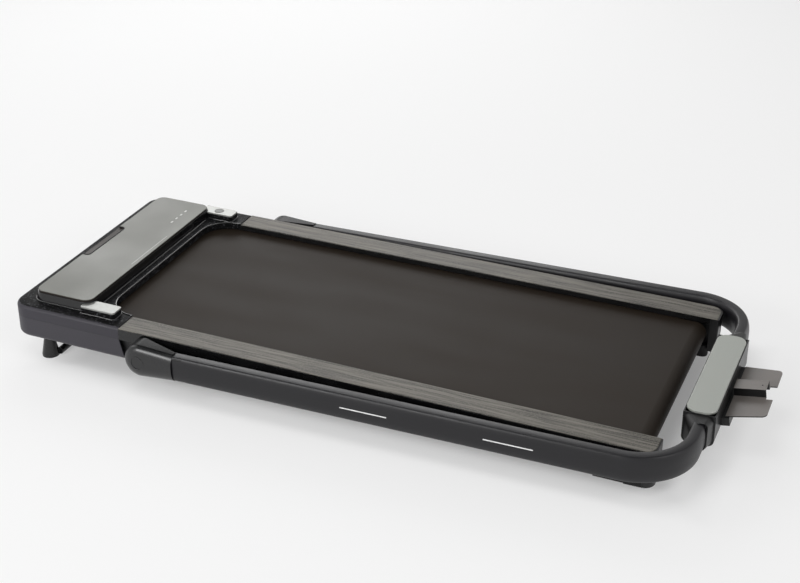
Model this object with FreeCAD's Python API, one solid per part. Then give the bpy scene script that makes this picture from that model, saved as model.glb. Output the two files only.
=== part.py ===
"""Powered walking pad with a fold-down handlebar, folded flat.

Millimetres. X runs from the motor hood (negative) to the console (positive), Y across the belt, Z up.
The origin is on the floor under the middle. The base is drawn level in its own frame, with Z counted from
the underside of the frame, and then set down on its feet at the deck's incline. The handlebar lies level.
"""
import FreeCAD, Part
import math
import os

V = FreeCAD.Vector

# Base: driving dimensions
HOOD_LENGTH = 243.5
RAIL_LENGTH = 1031.0
BASE_WIDTH = 540.0
RAIL_WIDTH = 52.0
RAIL_TOP = 66.4
DECK_INCLINE = 1.1
BASE_LIFT = 33.0

# Running surface
BELT_DROP = 14.0
BELT_THICKNESS = 1.8
BELT_TUCK = 1.6
BELT_CLEARANCE = 0.3
DECK_THICKNESS = 15.0
DECK_END_GAP = 6.0
DECK_SIDE_GAP = 2.0
ROLLER_RADIUS = 20.0
ROLLER_WALL = 3.0
ROLLER_OVERHANG = 2.0
AXLE_RADIUS = 7.5
BEARING_WIDTH = 16.0
DRIVE_ROLLER_INSET = 91.0
REAR_ROLLER_INSET = 41.0

# Fits
RUNNING_FIT = 0.05
SLIP_FIT = 0.1
SEAT_GAP = 0.2
MOVING_GAP = 0.3
ON_EDGE = 1e-4

# Steel frame
SIDE_TUBE_WIDTH = 22.0
SIDE_TUBE_WALL = 2.0
CROSS_WIDTH = 30.0
CROSS_HEIGHT = 16.0
CROSS_COUNT = 3
CUSHION_RADIUS = 12.0
CUSHION_HEIGHT = 8.0
CUSHION_EDGE = 20.0

# Foot rails
RAIL_WALL = 3.0
RAIL_SKIRT = 22.0
STRIP_THICKNESS = 1.4
STRIP_EDGE = 0.6
STRIP_CORNER = 2.0
STRIP_END_RADIUS = 22.0
END_CAP_LENGTH = 17.0
END_CAP_DROP = 6.0
END_CAP_PROUD = 3.0
END_CAP_RADIUS = 20.0
END_CAP_POCKET = 8.0
TENSION_SCREW_RADIUS = 3.0
TENSION_HEAD_RADIUS = 6.0
TENSION_HEAD_LENGTH = 6.0

# Motor hood
HOOD_WALL = 2.5
HOOD_CORNER = 35.0
HOOD_TOP_ROUND = 8.0
HOUSING_BOTTOM_ROUND = 10.0
SEAM_HEIGHT = 43.0
SHOULDER_TOP = 68.0
LIP_FROM_REAR = 62.5
EAR_STRAIGHT = 4.5
LIP_ABOVE_BELT = 1.6
HOUSING_REAR_SLANT = 11.0
HOUSING_FLOOR_LENGTH = 175.0
HOOD_SCREW_INSET = 22.0
HOOD_SCREW_FROM_SWITCH = 40.0
HOOD_SCREW_FROM_MIDDLE = 40.0
HOOD_SCREW_RADIUS = 2.0
HOOD_SCREW_HEAD_RADIUS = 4.0
HOOD_SCREW_HEAD = 2.0
HOOD_BOSS_RADIUS = 5.0

# Display bezel and panel
PANEL_INSET = 36.0
PANEL_FROM_REAR = 83.5
PANEL_FROM_SIDE = 35.5
PANEL_THICKNESS = 4.0
PANEL_TOP = 88.4
PANEL_CORNER = 18.0
BEZEL_MARGIN = 1.5
BEZEL_FLARE = 4.0
BEZEL_LEDGE = 7.0
RECESS_LENGTH = 137.0
RECESS_WIDTH = 15.0
RECESS_DEPTH = 2.5
RECESS_CORNER = 7.0
MARK_COUNT = 4
MARK_PITCH = 19.0
MARK_LENGTH = 8.0
MARK_WIDTH = 3.4
MARK_FROM_SIDE = 45.5
MARK_FROM_REAR = 34.0
MARK_PROUD = 0.2
MARK_ROUNDNESS = 0.9
BOARD_THICKNESS = 1.6
BOARD_MARGIN = 14.0

# Shoulder caps and power button
CAP_LENGTH = 75.0
CAP_WIDTH = 31.0
CAP_TOP = 82.0
CAP_THICKNESS = 3.0
CAP_FROM_REAR = 22.0
CAP_FROM_SIDE = 22.0
CAP_CORNER = 5.0
BUTTON_RADIUS = 10.0
BUTTON_PROUD = 0.6
BUTTON_HEIGHT = 8.6
BUTTON_POCKET = 3.0

# Drive
MOTOR_RADIUS = 29.0
MOTOR_LENGTH = 130.0
MOTOR_INSET = 62.0
MOTOR_RISE = 38.0
MOTOR_FROM_FRAME = 48.0
SHAFT_RADIUS = 5.0
SHAFT_DEPTH = 38.0
FLYWHEEL_RADIUS = 25.0
FLYWHEEL_WIDTH = 10.0
MOTOR_PULLEY_RADIUS = 11.0
ROLLER_PULLEY_RADIUS = 24.0
PULLEY_WIDTH = 12.0
PULLEY_FRAME_GAP = 2.0
DRIVE_BELT_THICKNESS = 2.5
DRIVE_BELT_WIDTH = 8.0
MOUNT_THICKNESS = 4.0
MOUNT_FROM_ROLLER = 10.5
MOUNT_INSET = 30.0
SADDLE_THICKNESS = 6.0
SADDLE_INSET = 26.0
CONTROLLER_FROM_ROLLER = 26.0
CONTROLLER_WIDTH = 150.0
CONTROLLER_HEIGHT = 16.0
CONTROLLER_FIN_HEIGHT = 18.0
CONTROLLER_FIN = 2.5
CONTROLLER_FIN_COUNT = 9
CONTROLLER_FROM_MIDDLE = 20.0

# Power inlet and switch, on the front wall of the housing
INLET_FROM_SIDE = 65.0
INLET_WIDTH = 32.0
INLET_HEIGHT = 24.0
INLET_DEPTH = 22.0
INLET_FLANGE = 3.0
INLET_WALL = 2.5
INLET_PIN_LENGTH = 9.0
INLET_PIN_WIDTH = 4.0
INLET_PIN_THICKNESS = 2.0
INLET_PIN_PITCH = 7.0
SWITCH_FROM_SIDE = 115.0
SWITCH_WIDTH = 16.0
SWITCH_HEIGHT = 24.0
SWITCH_DEPTH = 18.0
SWITCH_WALL = 2.0
ROCKER_AXIS_DEPTH = 6.0
ROCKER_ANGLE = 8.0
ROCKER_GAP = 0.6
PORT_ABOVE_ROUND = 0.5

# Feet and wheels
FRONT_FOOT_INSET = 64.0
FRONT_FOOT_FROM_SIDE = 26.0
FOOT_TOP_RADIUS = 9.0
FOOT_BASE_RADIUS = 17.0
FOOT_RIM = 4.0
FOOT_BAR_RADIUS = 7.0
FOOT_BAR_FLOOR_GAP = 0.5
FOOT_BAR_BEFORE_FOOT = 6.0
REAR_FOOT_LENGTH = 92.0
REAR_FOOT_WIDTH = 26.0
REAR_FOOT_FROM_SIDE = 23.0
REAR_FOOT_HEEL = 38.0
REAR_FOOT_STEP = 2.5
REAR_FOOT_ROUND = 10.0
WHEEL_RADIUS = 20.0
WHEEL_WIDTH = 22.0
WHEEL_INSET = 34.0
WHEEL_FROM_SIDE = 120.0
WHEEL_FLOOR_GAP = 2.0
WHEEL_AXLE_RADIUS = 4.0
WHEEL_RIM_ROUND = 4.0
FORK_THICKNESS = 3.0
FORK_SIDE_GAP = 1.0
FORK_WIDTH = 26.0

# Handlebar
POST_GAP = 13.5
TUBE_WIDTH = 27.0
TUBE_HEIGHT = 51.0
TUBE_LOWER_CORNER = 11.0
TUBE_OUTER_CORNER = 5.0
TUBE_TOP_FLAT = 2.0
TUBE_WALL = 1.8
BEND_RADIUS = 100.0
PIVOT_SETBACK = 66.0
PIVOT_RISE = 30.8
PIN_RADIUS = 8.0
PIN_HEAD_RADIUS = 13.0
PIN_NUT_RADIUS = 11.0
PIN_NUT = 8.0
BUSH_WALL = 2.4
BUSH_FLANGE_RADIUS = 15.0
BRACKET_THICKNESS = 5.0
BRACKET_LENGTH = 90.0
BRACKET_BOSS_RADIUS = 12.0
HINGE_GAP = 0.5
BLOCK_RADIUS = 26.0
BLOCK_LENGTH = 92.0
TUBE_SETBACK = 30.0
COVER_RADIUS = 33.0
COVER_LENGTH = 72.0
COVER_REAR_HEIGHT = 55.0
COVER_WALL = 2.5
COVER_OUT = 3.5
COVER_IN = 9.0
COVER_ROUND = 14.0
COVER_BEVEL = 18.0
RING_RADIUS = 14.0
RING_WIDTH = 1.6
RING_PROUD = 0.8
REST_LENGTH = 44.0
REST_THICKNESS = 4.0
REST_LEG = 16.0
REST_SETBACK = 78.0

# Console and phone holder
CONSOLE_GAP = 18.0
CONSOLE_WIDTH = 57.0
CONSOLE_LENGTH = 284.0
CONSOLE_HEIGHT = 61.0
CONSOLE_WALL = 2.5
CONSOLE_CORNER = 12.0
CONSOLE_ABOVE_TUBE = 4.0
CONSOLE_TUBE_OFFSET = 4.5
PLATE_THICKNESS = 4.0
PLATE_CORNER = 20.0
PLATE_INSET = 2.0
CROSSBAR_GRIP = 36.0
TUBE_ENGAGEMENT = 12.0
COLLAR_LENGTH = 25.0
COLLAR_WALL = 2.5
DISPLAY_FROM_END = 94.0
DISPLAY_EDGE = 1.0
DISPLAY_FLANGE = 2.5
DISPLAY_THICKNESS = 1.5
CONSOLE_BUTTON_RADIUS = 8.0
CONSOLE_BUTTON_PROUD = 1.4
CONSOLE_BUTTON_FLANGE = 1.5
CONSOLE_BUTTON_HEIGHT = 6.0
MINUS_FROM_END = 46.0
START_FROM_END = 70.0
PLUS_FROM_END = 58.0
CONSOLE_SCREW_RADIUS = 1.75
CONSOLE_SCREW_HEAD_RADIUS = 3.5
CONSOLE_SCREW_HEAD = 2.0
CONSOLE_SCREW_LENGTH = 5.0
CONSOLE_SCREW_EDGE = 7.0
HOLDER_REACH = 75.0
HOLDER_START = 7.0
HOLDER_WIDTH = 179.0
HOLDER_TIP_WIDTH = 162.0
HOLDER_SHEET = 2.0
HOLDER_TILT = 8.7
HOLDER_BELOW_TOP = 34.0
HOLDER_CORNER = 10.0
CHANNEL_WIDTH = 33.0
CHANNEL_HEIGHT = 17.0
NOTCH_WIDTH = 46.0
NOTCH_DEPTH = 12.0
HOLDER_HOLE_RADIUS = 1.6
HOLDER_HOLE_FROM_END = 9.0
HOLDER_BRACKET_LENGTH = 14.0
HOLDER_BRACKET_HEIGHT = 16.0
HOLDER_BRACKET_PAST_HOLDER = 2.0

# Places along the length
LENGTH = HOOD_LENGTH + RAIL_LENGTH + CONSOLE_GAP + CONSOLE_WIDTH + HOLDER_REACH
HOOD_FRONT = -LENGTH / 2
RAIL_FRONT = HOOD_FRONT + HOOD_LENGTH
RAIL_END = RAIL_FRONT + RAIL_LENGTH
LIP_X = RAIL_FRONT - LIP_FROM_REAR
LIP_CORNER = LIP_FROM_REAR - EAR_STRAIGHT
DRIVE_ROLLER_X = RAIL_FRONT - DRIVE_ROLLER_INSET
REAR_ROLLER_X = RAIL_END - REAR_ROLLER_INSET
MOTOR_X = HOOD_FRONT + MOTOR_INSET
PANEL_FRONT = HOOD_FRONT + PANEL_INSET
PANEL_REAR = RAIL_FRONT - PANEL_FROM_REAR
CAP_REAR = RAIL_FRONT - CAP_FROM_REAR
CAP_FRONT = CAP_REAR - CAP_LENGTH
CAP_FACE_X = RAIL_END - END_CAP_LENGTH + END_CAP_PROUD
SIDE_TUBE_FRONT = HOOD_FRONT + HOOD_CORNER
SIDE_TUBE_END = CAP_FACE_X + END_CAP_POCKET
FOOT_X = HOOD_FRONT + FRONT_FOOT_INSET
WHEEL_X = HOOD_FRONT + WHEEL_INSET
CONSOLE_FRONT = RAIL_END + CONSOLE_GAP
CONSOLE_REAR = CONSOLE_FRONT + CONSOLE_WIDTH
CONSOLE_X = (CONSOLE_FRONT + CONSOLE_REAR) / 2
CROSS_TUBE_X = CONSOLE_X + CONSOLE_TUBE_OFFSET

# Places across the width
HALF_BASE = BASE_WIDTH / 2
HALF_PANEL = HALF_BASE - PANEL_FROM_SIDE
MARK_FIRST_Y = HALF_PANEL - MARK_FROM_SIDE - MARK_PITCH * (MARK_COUNT - 1)
INLET_Y = HALF_BASE - INLET_FROM_SIDE
SWITCH_Y = HALF_BASE - SWITCH_FROM_SIDE
HOOD_SCREW_OUTER = SWITCH_Y - HOOD_SCREW_FROM_SWITCH
HOOD_SCREW_PLACES = (-HOOD_SCREW_OUTER, -HOOD_SCREW_FROM_MIDDLE, HOOD_SCREW_FROM_MIDDLE, HOOD_SCREW_OUTER)
RAIL_INNER = HALF_BASE - RAIL_WIDTH
HALF_BELT = RAIL_INNER + BELT_TUCK
HALF_ROLLER = HALF_BELT + ROLLER_OVERHANG
SIDE_TUBE_OUTER = HALF_BASE - RAIL_WALL - SIDE_TUBE_WALL - BRACKET_THICKNESS
SIDE_TUBE_INNER = SIDE_TUBE_OUTER - SIDE_TUBE_WIDTH
SIDE_TUBE_MIDDLE = (SIDE_TUBE_OUTER + SIDE_TUBE_INNER) / 2
PULLEY_OUTER = SIDE_TUBE_INNER - PULLEY_FRAME_GAP
POST_Y = HALF_BASE + POST_GAP + TUBE_WIDTH / 2
CAP_OUTER = HALF_BASE - CAP_FROM_SIDE
CAP_INNER = CAP_OUTER - CAP_WIDTH
CAP_Y = (CAP_OUTER + CAP_INNER) / 2
FOOT_Y = HALF_BASE - FRONT_FOOT_FROM_SIDE
WHEEL_Y = HALF_BASE - WHEEL_FROM_SIDE
HALF_CONSOLE = CONSOLE_LENGTH / 2
MINUS_Y = MINUS_FROM_END - HALF_CONSOLE
START_Y = START_FROM_END - HALF_CONSOLE
PLUS_Y = HALF_CONSOLE - PLUS_FROM_END

# Heights of the base above the underside of its frame
STRIP_BOTTOM = RAIL_TOP - STRIP_THICKNESS
RAIL_UNDERSIDE = STRIP_BOTTOM - RAIL_WALL
BELT_TOP = RAIL_TOP - BELT_DROP
DECK_TOP = BELT_TOP - BELT_THICKNESS
DECK_BOTTOM = DECK_TOP - DECK_THICKNESS
ROLLER_RISE = DECK_TOP - BELT_CLEARANCE - ROLLER_RADIUS
CROSS_TOP = DECK_BOTTOM - CUSHION_HEIGHT
LIP_BOTTOM = BELT_TOP + LIP_ABOVE_BELT
BEZEL_TOP = PANEL_TOP - PANEL_THICKNESS
CAP_BOTTOM = CAP_TOP - CAP_THICKNESS
MOUNT_TOP = HOOD_WALL + MOUNT_THICKNESS
HOUSING_ROUND = min(HOUSING_BOTTOM_ROUND, HALF_BASE - SIDE_TUBE_OUTER)
PORT_RISE = HOUSING_ROUND + PORT_ABOVE_ROUND + INLET_FLANGE + max(INLET_HEIGHT, SWITCH_HEIGHT) / 2

# The pivot, once the base stands on its feet
INCLINE = math.radians(DECK_INCLINE)
PIVOT_BASE_X = RAIL_FRONT + PIVOT_SETBACK
PIVOT_X = PIVOT_BASE_X * math.cos(INCLINE) + PIVOT_RISE * math.sin(INCLINE)
PIVOT_Z = BASE_LIFT + PIVOT_RISE * math.cos(INCLINE) - PIVOT_BASE_X * math.sin(INCLINE)
TUBE_TOP = PIVOT_Z + TUBE_HEIGHT / 2
TUBE_BOTTOM = PIVOT_Z - TUBE_HEIGHT / 2
HOUSING_TOP = TUBE_TOP + CONSOLE_ABOVE_TUBE
HOUSING_BOTTOM = HOUSING_TOP - CONSOLE_HEIGHT
PLATE_TOP = HOUSING_TOP + PLATE_THICKNESS
BLOCK_HALF = TUBE_WIDTH / 2 - TUBE_WALL - SEAT_GAP
BLOCK_INNER = POST_Y - BLOCK_HALF
BLOCK_OUTER = POST_Y + BLOCK_HALF
BOSS_FACE = HALF_BASE + HINGE_GAP
COVER_INNER = POST_Y - TUBE_WIDTH / 2 - COVER_IN
COVER_OUTER = POST_Y + TUBE_WIDTH / 2 + COVER_OUT
TUBE_FRONT = PIVOT_X + TUBE_SETBACK
TUBE_INNER_CORNER = TUBE_WIDTH - TUBE_OUTER_CORNER - TUBE_TOP_FLAT
TUBE_CORNERS = (TUBE_LOWER_CORNER, TUBE_LOWER_CORNER, TUBE_OUTER_CORNER, TUBE_INNER_CORNER)
COVER_REAR = PIVOT_X + COVER_LENGTH


def block(x0, x1, y0, y1, z0, z1):
    return Part.makeBox(x1 - x0, y1 - y0, z1 - z0, V(x0, y0, z0))


def rod_x(radius, y, z, x0, x1):
    return Part.makeCylinder(radius, x1 - x0, V(x0, y, z), V(1, 0, 0))


def rod_y(radius, x, z, y0, y1):
    return Part.makeCylinder(radius, y1 - y0, V(x, y0, z), V(0, 1, 0))


def rod_z(radius, x, y, z0, z1):
    return Part.makeCylinder(radius, z1 - z0, V(x, y, z0), V(0, 0, 1))


def outline(u0, u1, v0, v1, radii, at):
    """Closed rectangle with a radius of its own at each corner, placed by at(u, v)."""
    corners = [(u0, v0, 1, 1), (u1, v0, -1, 1), (u1, v1, -1, -1), (u0, v1, 1, -1)]
    inset = 1 - math.sqrt(0.5)
    edges = []
    ends = []
    for index, (u, v, du, dv) in enumerate(corners):
        radius = radii[index]
        on_v = at(u, v + dv * radius)
        on_u = at(u + du * radius, v)
        middle = at(u + du * radius * inset, v + dv * radius * inset)
        arrive, leave = (on_v, on_u) if index % 2 == 0 else (on_u, on_v)
        ends.append((arrive, leave))
        if radius > 0:
            edges.append(Part.Arc(arrive, middle, leave).toShape())
    for index, (arrive, leave) in enumerate(ends):
        following = ends[(index + 1) % len(ends)][0]
        edges.append(Part.LineSegment(leave, following).toShape())
    return Part.Wire(Part.__sortEdges__(edges))


def flat_outline(x0, x1, y0, y1, radii, z):
    return outline(x0, x1, y0, y1, radii, lambda x, y: V(x, y, z))


def upright_outline(x0, x1, z0, z1, radii, y):
    return outline(x0, x1, z0, z1, radii, lambda x, z: V(x, y, z))


def cross_outline(y0, y1, z0, z1, radii, x):
    return outline(y0, y1, z0, z1, radii, lambda y, z: V(x, y, z))


def slab(x0, x1, y0, y1, z0, z1, radii):
    return Part.Face(flat_outline(x0, x1, y0, y1, radii, z0)).extrude(V(0, 0, z1 - z0))


def polygon(points):
    return Part.Face(Part.makePolygon(points + [points[0]]))


def mirrored(shape):
    return shape.mirror(V(0, 0, 0), V(0, 1, 0))


def pair(shape):
    return Part.makeCompound([shape, mirrored(shape)])


def group(shapes):
    return Part.makeCompound(shapes)


def cut(shape, *tools):
    for tool in tools:
        shape = shape.cut(tool)
    return shape


def fuse(shape, *others):
    for other in others:
        shape = shape.fuse(other)
    return shape.removeSplitter()


def flat_at(low, high, place):
    return abs(low - place) < ON_EDGE and abs(high - place) < ON_EDGE


def edges_at_height(shape, z):
    return [edge for edge in shape.Edges if flat_at(edge.BoundBox.ZMin, edge.BoundBox.ZMax, z)]


def upright_edges_at_x(shape, x):
    at_x = [edge for edge in shape.Edges if flat_at(edge.BoundBox.XMin, edge.BoundBox.XMax, x)]
    return [edge for edge in at_x if edge.BoundBox.YLength < ON_EDGE]


def edges_at_y(shape, y):
    return [edge for edge in shape.Edges if flat_at(edge.BoundBox.YMin, edge.BoundBox.YMax, y)]


def set_down(shape):
    """Base frame to floor frame: tipped down towards the rear and lifted onto the feet."""
    placed = shape.copy()
    placed.rotate(V(0, 0, 0), V(0, 1, 0), DECK_INCLINE)
    placed.translate(V(0, 0, BASE_LIFT))
    return placed


def floor_below():
    depth = 2 * BASE_LIFT + LENGTH * math.sin(INCLINE)
    return block(-LENGTH, LENGTH, -BASE_WIDTH, BASE_WIDTH, -depth, 0)


# Steel frame
def frame_side_members():
    tube = block(SIDE_TUBE_FRONT, SIDE_TUBE_END, SIDE_TUBE_INNER, SIDE_TUBE_OUTER, HOOD_WALL, RAIL_UNDERSIDE)
    bore = block(SIDE_TUBE_FRONT, SIDE_TUBE_END,
                 SIDE_TUBE_INNER + SIDE_TUBE_WALL, SIDE_TUBE_OUTER - SIDE_TUBE_WALL,
                 HOOD_WALL + SIDE_TUBE_WALL, RAIL_UNDERSIDE - SIDE_TUBE_WALL)
    tube = tube.cut(bore)
    for x in (DRIVE_ROLLER_X, REAR_ROLLER_X):
        tube = tube.cut(rod_y(AXLE_RADIUS + SLIP_FIT, x, ROLLER_RISE, SIDE_TUBE_INNER, SIDE_TUBE_OUTER))
    pin_hole = rod_y(PIN_RADIUS + SLIP_FIT, PIVOT_BASE_X, PIVOT_RISE, SIDE_TUBE_MIDDLE, SIDE_TUBE_OUTER)
    return pair(tube.cut(pin_hole))


def cross_places():
    first = LIP_X + CROSS_WIDTH + CROSS_WIDTH
    last = REAR_ROLLER_X - ROLLER_RADIUS - CROSS_WIDTH - CROSS_WIDTH
    step = (last - first) / (CROSS_COUNT - 1)
    return [first + step * index for index in range(CROSS_COUNT)]


def frame_cross_members():
    members = []
    for x in cross_places():
        outer = block(x - CROSS_WIDTH / 2, x + CROSS_WIDTH / 2, -SIDE_TUBE_INNER, SIDE_TUBE_INNER,
                      CROSS_TOP - CROSS_HEIGHT, CROSS_TOP)
        inner = block(x - CROSS_WIDTH / 2 + SIDE_TUBE_WALL, x + CROSS_WIDTH / 2 - SIDE_TUBE_WALL,
                      -SIDE_TUBE_INNER, SIDE_TUBE_INNER,
                      CROSS_TOP - CROSS_HEIGHT + SIDE_TUBE_WALL, CROSS_TOP - SIDE_TUBE_WALL)
        members.append(outer.cut(inner))
    return group(members)


def deck_cushions():
    edge = SIDE_TUBE_INNER - CUSHION_EDGE
    cushions = []
    for x in cross_places():
        for y in (-edge, 0, edge):
            cushions.append(rod_z(CUSHION_RADIUS, x, y, CROSS_TOP, DECK_BOTTOM))
    return group(cushions)


# Running surface
def running_deck():
    front = DRIVE_ROLLER_X + pulley_rim(ROLLER_PULLEY_RADIUS) + DECK_END_GAP
    rear = REAR_ROLLER_X - ROLLER_RADIUS - DECK_END_GAP
    half = SIDE_TUBE_INNER - DECK_SIDE_GAP
    return block(front, rear, -half, half, DECK_BOTTOM, DECK_TOP)


def loop_face(x0, z0, r0, x1, z1, r1, y):
    """Outline of a taut loop round two circles, in the plane of that y."""
    distance = math.hypot(x1 - x0, z1 - z0)
    lean = math.atan2(z1 - z0, x1 - x0)
    spread = math.acos((r0 - r1) / distance)

    def on_first(angle):
        return V(x0 + r0 * math.cos(angle), y, z0 + r0 * math.sin(angle))

    def on_second(angle):
        return V(x1 + r1 * math.cos(angle), y, z1 + r1 * math.sin(angle))

    top = lean + spread
    bottom = lean - spread
    edges = [
        Part.LineSegment(on_first(top), on_second(top)).toShape(),
        Part.Arc(on_second(top), on_second(lean), on_second(bottom)).toShape(),
        Part.LineSegment(on_second(bottom), on_first(bottom)).toShape(),
        Part.Arc(on_first(bottom), on_first(lean + math.pi), on_first(top)).toShape(),
    ]
    return Part.Face(Part.Wire(edges))


def loop_belt(x0, z0, r0, x1, z1, r1, thickness, y0, y1):
    outer = loop_face(x0, z0, r0 + thickness, x1, z1, r1 + thickness, y0).extrude(V(0, y1 - y0, 0))
    inner = loop_face(x0, z0, r0, x1, z1, r1, y0).extrude(V(0, y1 - y0, 0))
    return outer.cut(inner)


def running_belt():
    radius = ROLLER_RADIUS + BELT_CLEARANCE
    return loop_belt(DRIVE_ROLLER_X, ROLLER_RISE, radius, REAR_ROLLER_X, ROLLER_RISE, radius, BELT_THICKNESS,
                     -HALF_BELT, HALF_BELT)


def roller(x):
    drum = rod_y(ROLLER_RADIUS, x, ROLLER_RISE, -HALF_ROLLER, HALF_ROLLER)
    bore = rod_y(ROLLER_RADIUS - ROLLER_WALL, x, ROLLER_RISE, -HALF_ROLLER, HALF_ROLLER)
    return drum.cut(bore)


def roller_axle(x):
    half = SIDE_TUBE_OUTER - SIDE_TUBE_WALL / 2
    return rod_y(AXLE_RADIUS, x, ROLLER_RISE, -half, half)


def rear_roller_axle():
    axle = roller_axle(REAR_ROLLER_X)
    for y in (-SIDE_TUBE_MIDDLE, SIDE_TUBE_MIDDLE):
        hole = rod_x(TENSION_SCREW_RADIUS + SLIP_FIT, y, ROLLER_RISE, REAR_ROLLER_X - 2 * AXLE_RADIUS,
                     REAR_ROLLER_X + 2 * AXLE_RADIUS)
        axle = axle.cut(hole)
    return axle


def roller_bearings(x):
    inner_end = HALF_ROLLER - BEARING_WIDTH
    outer = rod_y(ROLLER_RADIUS - ROLLER_WALL - RUNNING_FIT, x, ROLLER_RISE, inner_end, HALF_ROLLER)
    bore = rod_y(AXLE_RADIUS + RUNNING_FIT, x, ROLLER_RISE, inner_end, HALF_ROLLER)
    return pair(outer.cut(bore))


def belt_tension_screws():
    tip = REAR_ROLLER_X - 2 * AXLE_RADIUS
    head_end = SIDE_TUBE_END + TENSION_HEAD_LENGTH
    shank = rod_x(TENSION_SCREW_RADIUS, SIDE_TUBE_MIDDLE, ROLLER_RISE, tip, SIDE_TUBE_END)
    head = rod_x(TENSION_HEAD_RADIUS, SIDE_TUBE_MIDDLE, ROLLER_RISE, SIDE_TUBE_END, head_end)
    return pair(fuse(shank, head))


# Foot rails
def foot_rail():
    """Black channel on top of the side member, with its skirt outside and a lip over the belt's edge."""
    lip_inside = RAIL_INNER + RAIL_WALL
    skirt_inside = HALF_BASE - RAIL_WALL
    skirt_bottom = STRIP_BOTTOM - RAIL_SKIRT
    points = [
        (RAIL_INNER, LIP_BOTTOM), (lip_inside, LIP_BOTTOM), (lip_inside, RAIL_UNDERSIDE),
        (skirt_inside, RAIL_UNDERSIDE), (skirt_inside, skirt_bottom), (HALF_BASE, skirt_bottom),
        (HALF_BASE, STRIP_BOTTOM), (RAIL_INNER, STRIP_BOTTOM),
    ]
    section = polygon([V(RAIL_FRONT, y, z) for y, z in points])
    return section.extrude(V(CAP_FACE_X - RAIL_FRONT, 0, 0))


def foot_rail_strip():
    radii = (0, STRIP_CORNER, STRIP_END_RADIUS, 0)
    inner = RAIL_INNER + STRIP_EDGE
    outer = HALF_BASE - STRIP_EDGE
    strip = slab(RAIL_FRONT, RAIL_END, inner, outer, STRIP_BOTTOM, RAIL_TOP, radii)
    return strip.makeChamfer(STRIP_EDGE, edges_at_height(strip, RAIL_TOP))


def rear_end_cap():
    """Closes the rear of the rail and of the side member behind it."""
    rear = CAP_FACE_X + END_CAP_LENGTH
    radii = (0, END_CAP_PROUD, END_CAP_RADIUS, 0)
    cap = slab(CAP_FACE_X, rear, RAIL_INNER, HALF_BASE, -END_CAP_DROP, STRIP_BOTTOM, radii)
    pocket = block(CAP_FACE_X, SIDE_TUBE_END, SIDE_TUBE_INNER - SEAT_GAP, SIDE_TUBE_OUTER + SEAT_GAP,
                   HOOD_WALL - SEAT_GAP, RAIL_UNDERSIDE + SEAT_GAP)
    screw = rod_x(TENSION_HEAD_RADIUS + SEAT_GAP, SIDE_TUBE_MIDDLE, ROLLER_RISE, CAP_FACE_X, rear)
    return cut(cap, pocket, screw)


# Motor hood
def hood_plan(inset, x_rear, z0, z1):
    half = HALF_BASE - inset
    corner = HOOD_CORNER - inset
    return slab(HOOD_FRONT + inset, x_rear, -half, half, z0, z1, (corner, 0, 0, corner))


def belt_mouth(outset, z0, z1):
    """Plan of the open space behind the hood, between its two ears."""
    half = RAIL_INNER + outset
    corner = LIP_CORNER + outset
    return slab(LIP_X - outset, RAIL_FRONT + HOOD_LENGTH, -half, half, z0, z1, (corner, 0, 0, corner))


def bezel_wire(outset, z):
    """Plan of the bezel round the panel, grown by outset."""
    grow = BEZEL_MARGIN + outset
    half = HALF_PANEL + grow
    corner = PANEL_CORNER + grow
    return flat_outline(PANEL_FRONT - grow, PANEL_REAR + grow, -half, half, (corner,) * 4, z)


def bezel_body(outset, z0, z1):
    """Flared body of the bezel from the shoulder to below the panel."""
    return Part.makeLoft([bezel_wire(BEZEL_FLARE + outset, z0), bezel_wire(outset, z1)], True)


def display_bezel():
    outer = bezel_body(0, SHOULDER_TOP, BEZEL_TOP)
    inner = bezel_body(-HOOD_WALL, SHOULDER_TOP, BEZEL_TOP - HOOD_WALL)
    return cut(outer.cut(inner), *mark_holes(BEZEL_TOP - HOOD_WALL, BEZEL_TOP))


def display_panel():
    corners = (PANEL_CORNER,) * 4
    panel = slab(PANEL_FRONT, PANEL_REAR, -HALF_PANEL, HALF_PANEL, BEZEL_TOP, PANEL_TOP, corners)
    panel = panel.makeChamfer(STRIP_EDGE, edges_at_height(panel, PANEL_TOP))
    recess_half = RECESS_LENGTH / 2
    recess = slab(PANEL_FRONT - RECESS_WIDTH, PANEL_FRONT + RECESS_WIDTH, -recess_half, recess_half,
                  PANEL_TOP - RECESS_DEPTH, PANEL_TOP, (0, RECESS_CORNER, RECESS_CORNER, 0))
    return cut(panel.cut(recess), *mark_holes(BEZEL_TOP, PANEL_TOP))


def mark_slab(index, grow, z0, z1):
    y = MARK_FIRST_Y + MARK_PITCH * index
    x = PANEL_REAR - MARK_FROM_REAR
    half_width = MARK_WIDTH / 2 + grow
    half_length = MARK_LENGTH / 2 + grow
    corner = half_width * MARK_ROUNDNESS
    return slab(x - half_width, x + half_width, y - half_length, y + half_length, z0, z1, (corner,) * 4)


def mark_holes(z0, z1):
    return [mark_slab(index, RUNNING_FIT, z0, z1) for index in range(MARK_COUNT)]


def indicator_lenses():
    low = BEZEL_TOP - HOOD_WALL
    return group([mark_slab(index, 0, low, PANEL_TOP + MARK_PROUD) for index in range(MARK_COUNT)])


def indicator_board():
    top = BEZEL_TOP - HOOD_WALL
    x = PANEL_REAR - MARK_FROM_REAR
    y_last = MARK_FIRST_Y + MARK_PITCH * (MARK_COUNT - 1)
    return block(x - BOARD_MARGIN, x + BOARD_MARGIN, MARK_FIRST_Y - BOARD_MARGIN, y_last + BOARD_MARGIN,
                 top - BOARD_THICKNESS, top)


def cap_slab(grow, z0, z1):
    corner = CAP_CORNER + grow
    return slab(CAP_FRONT - grow, CAP_REAR + grow, CAP_INNER - grow, CAP_OUTER + grow, z0, z1, (corner,) * 4)


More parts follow.
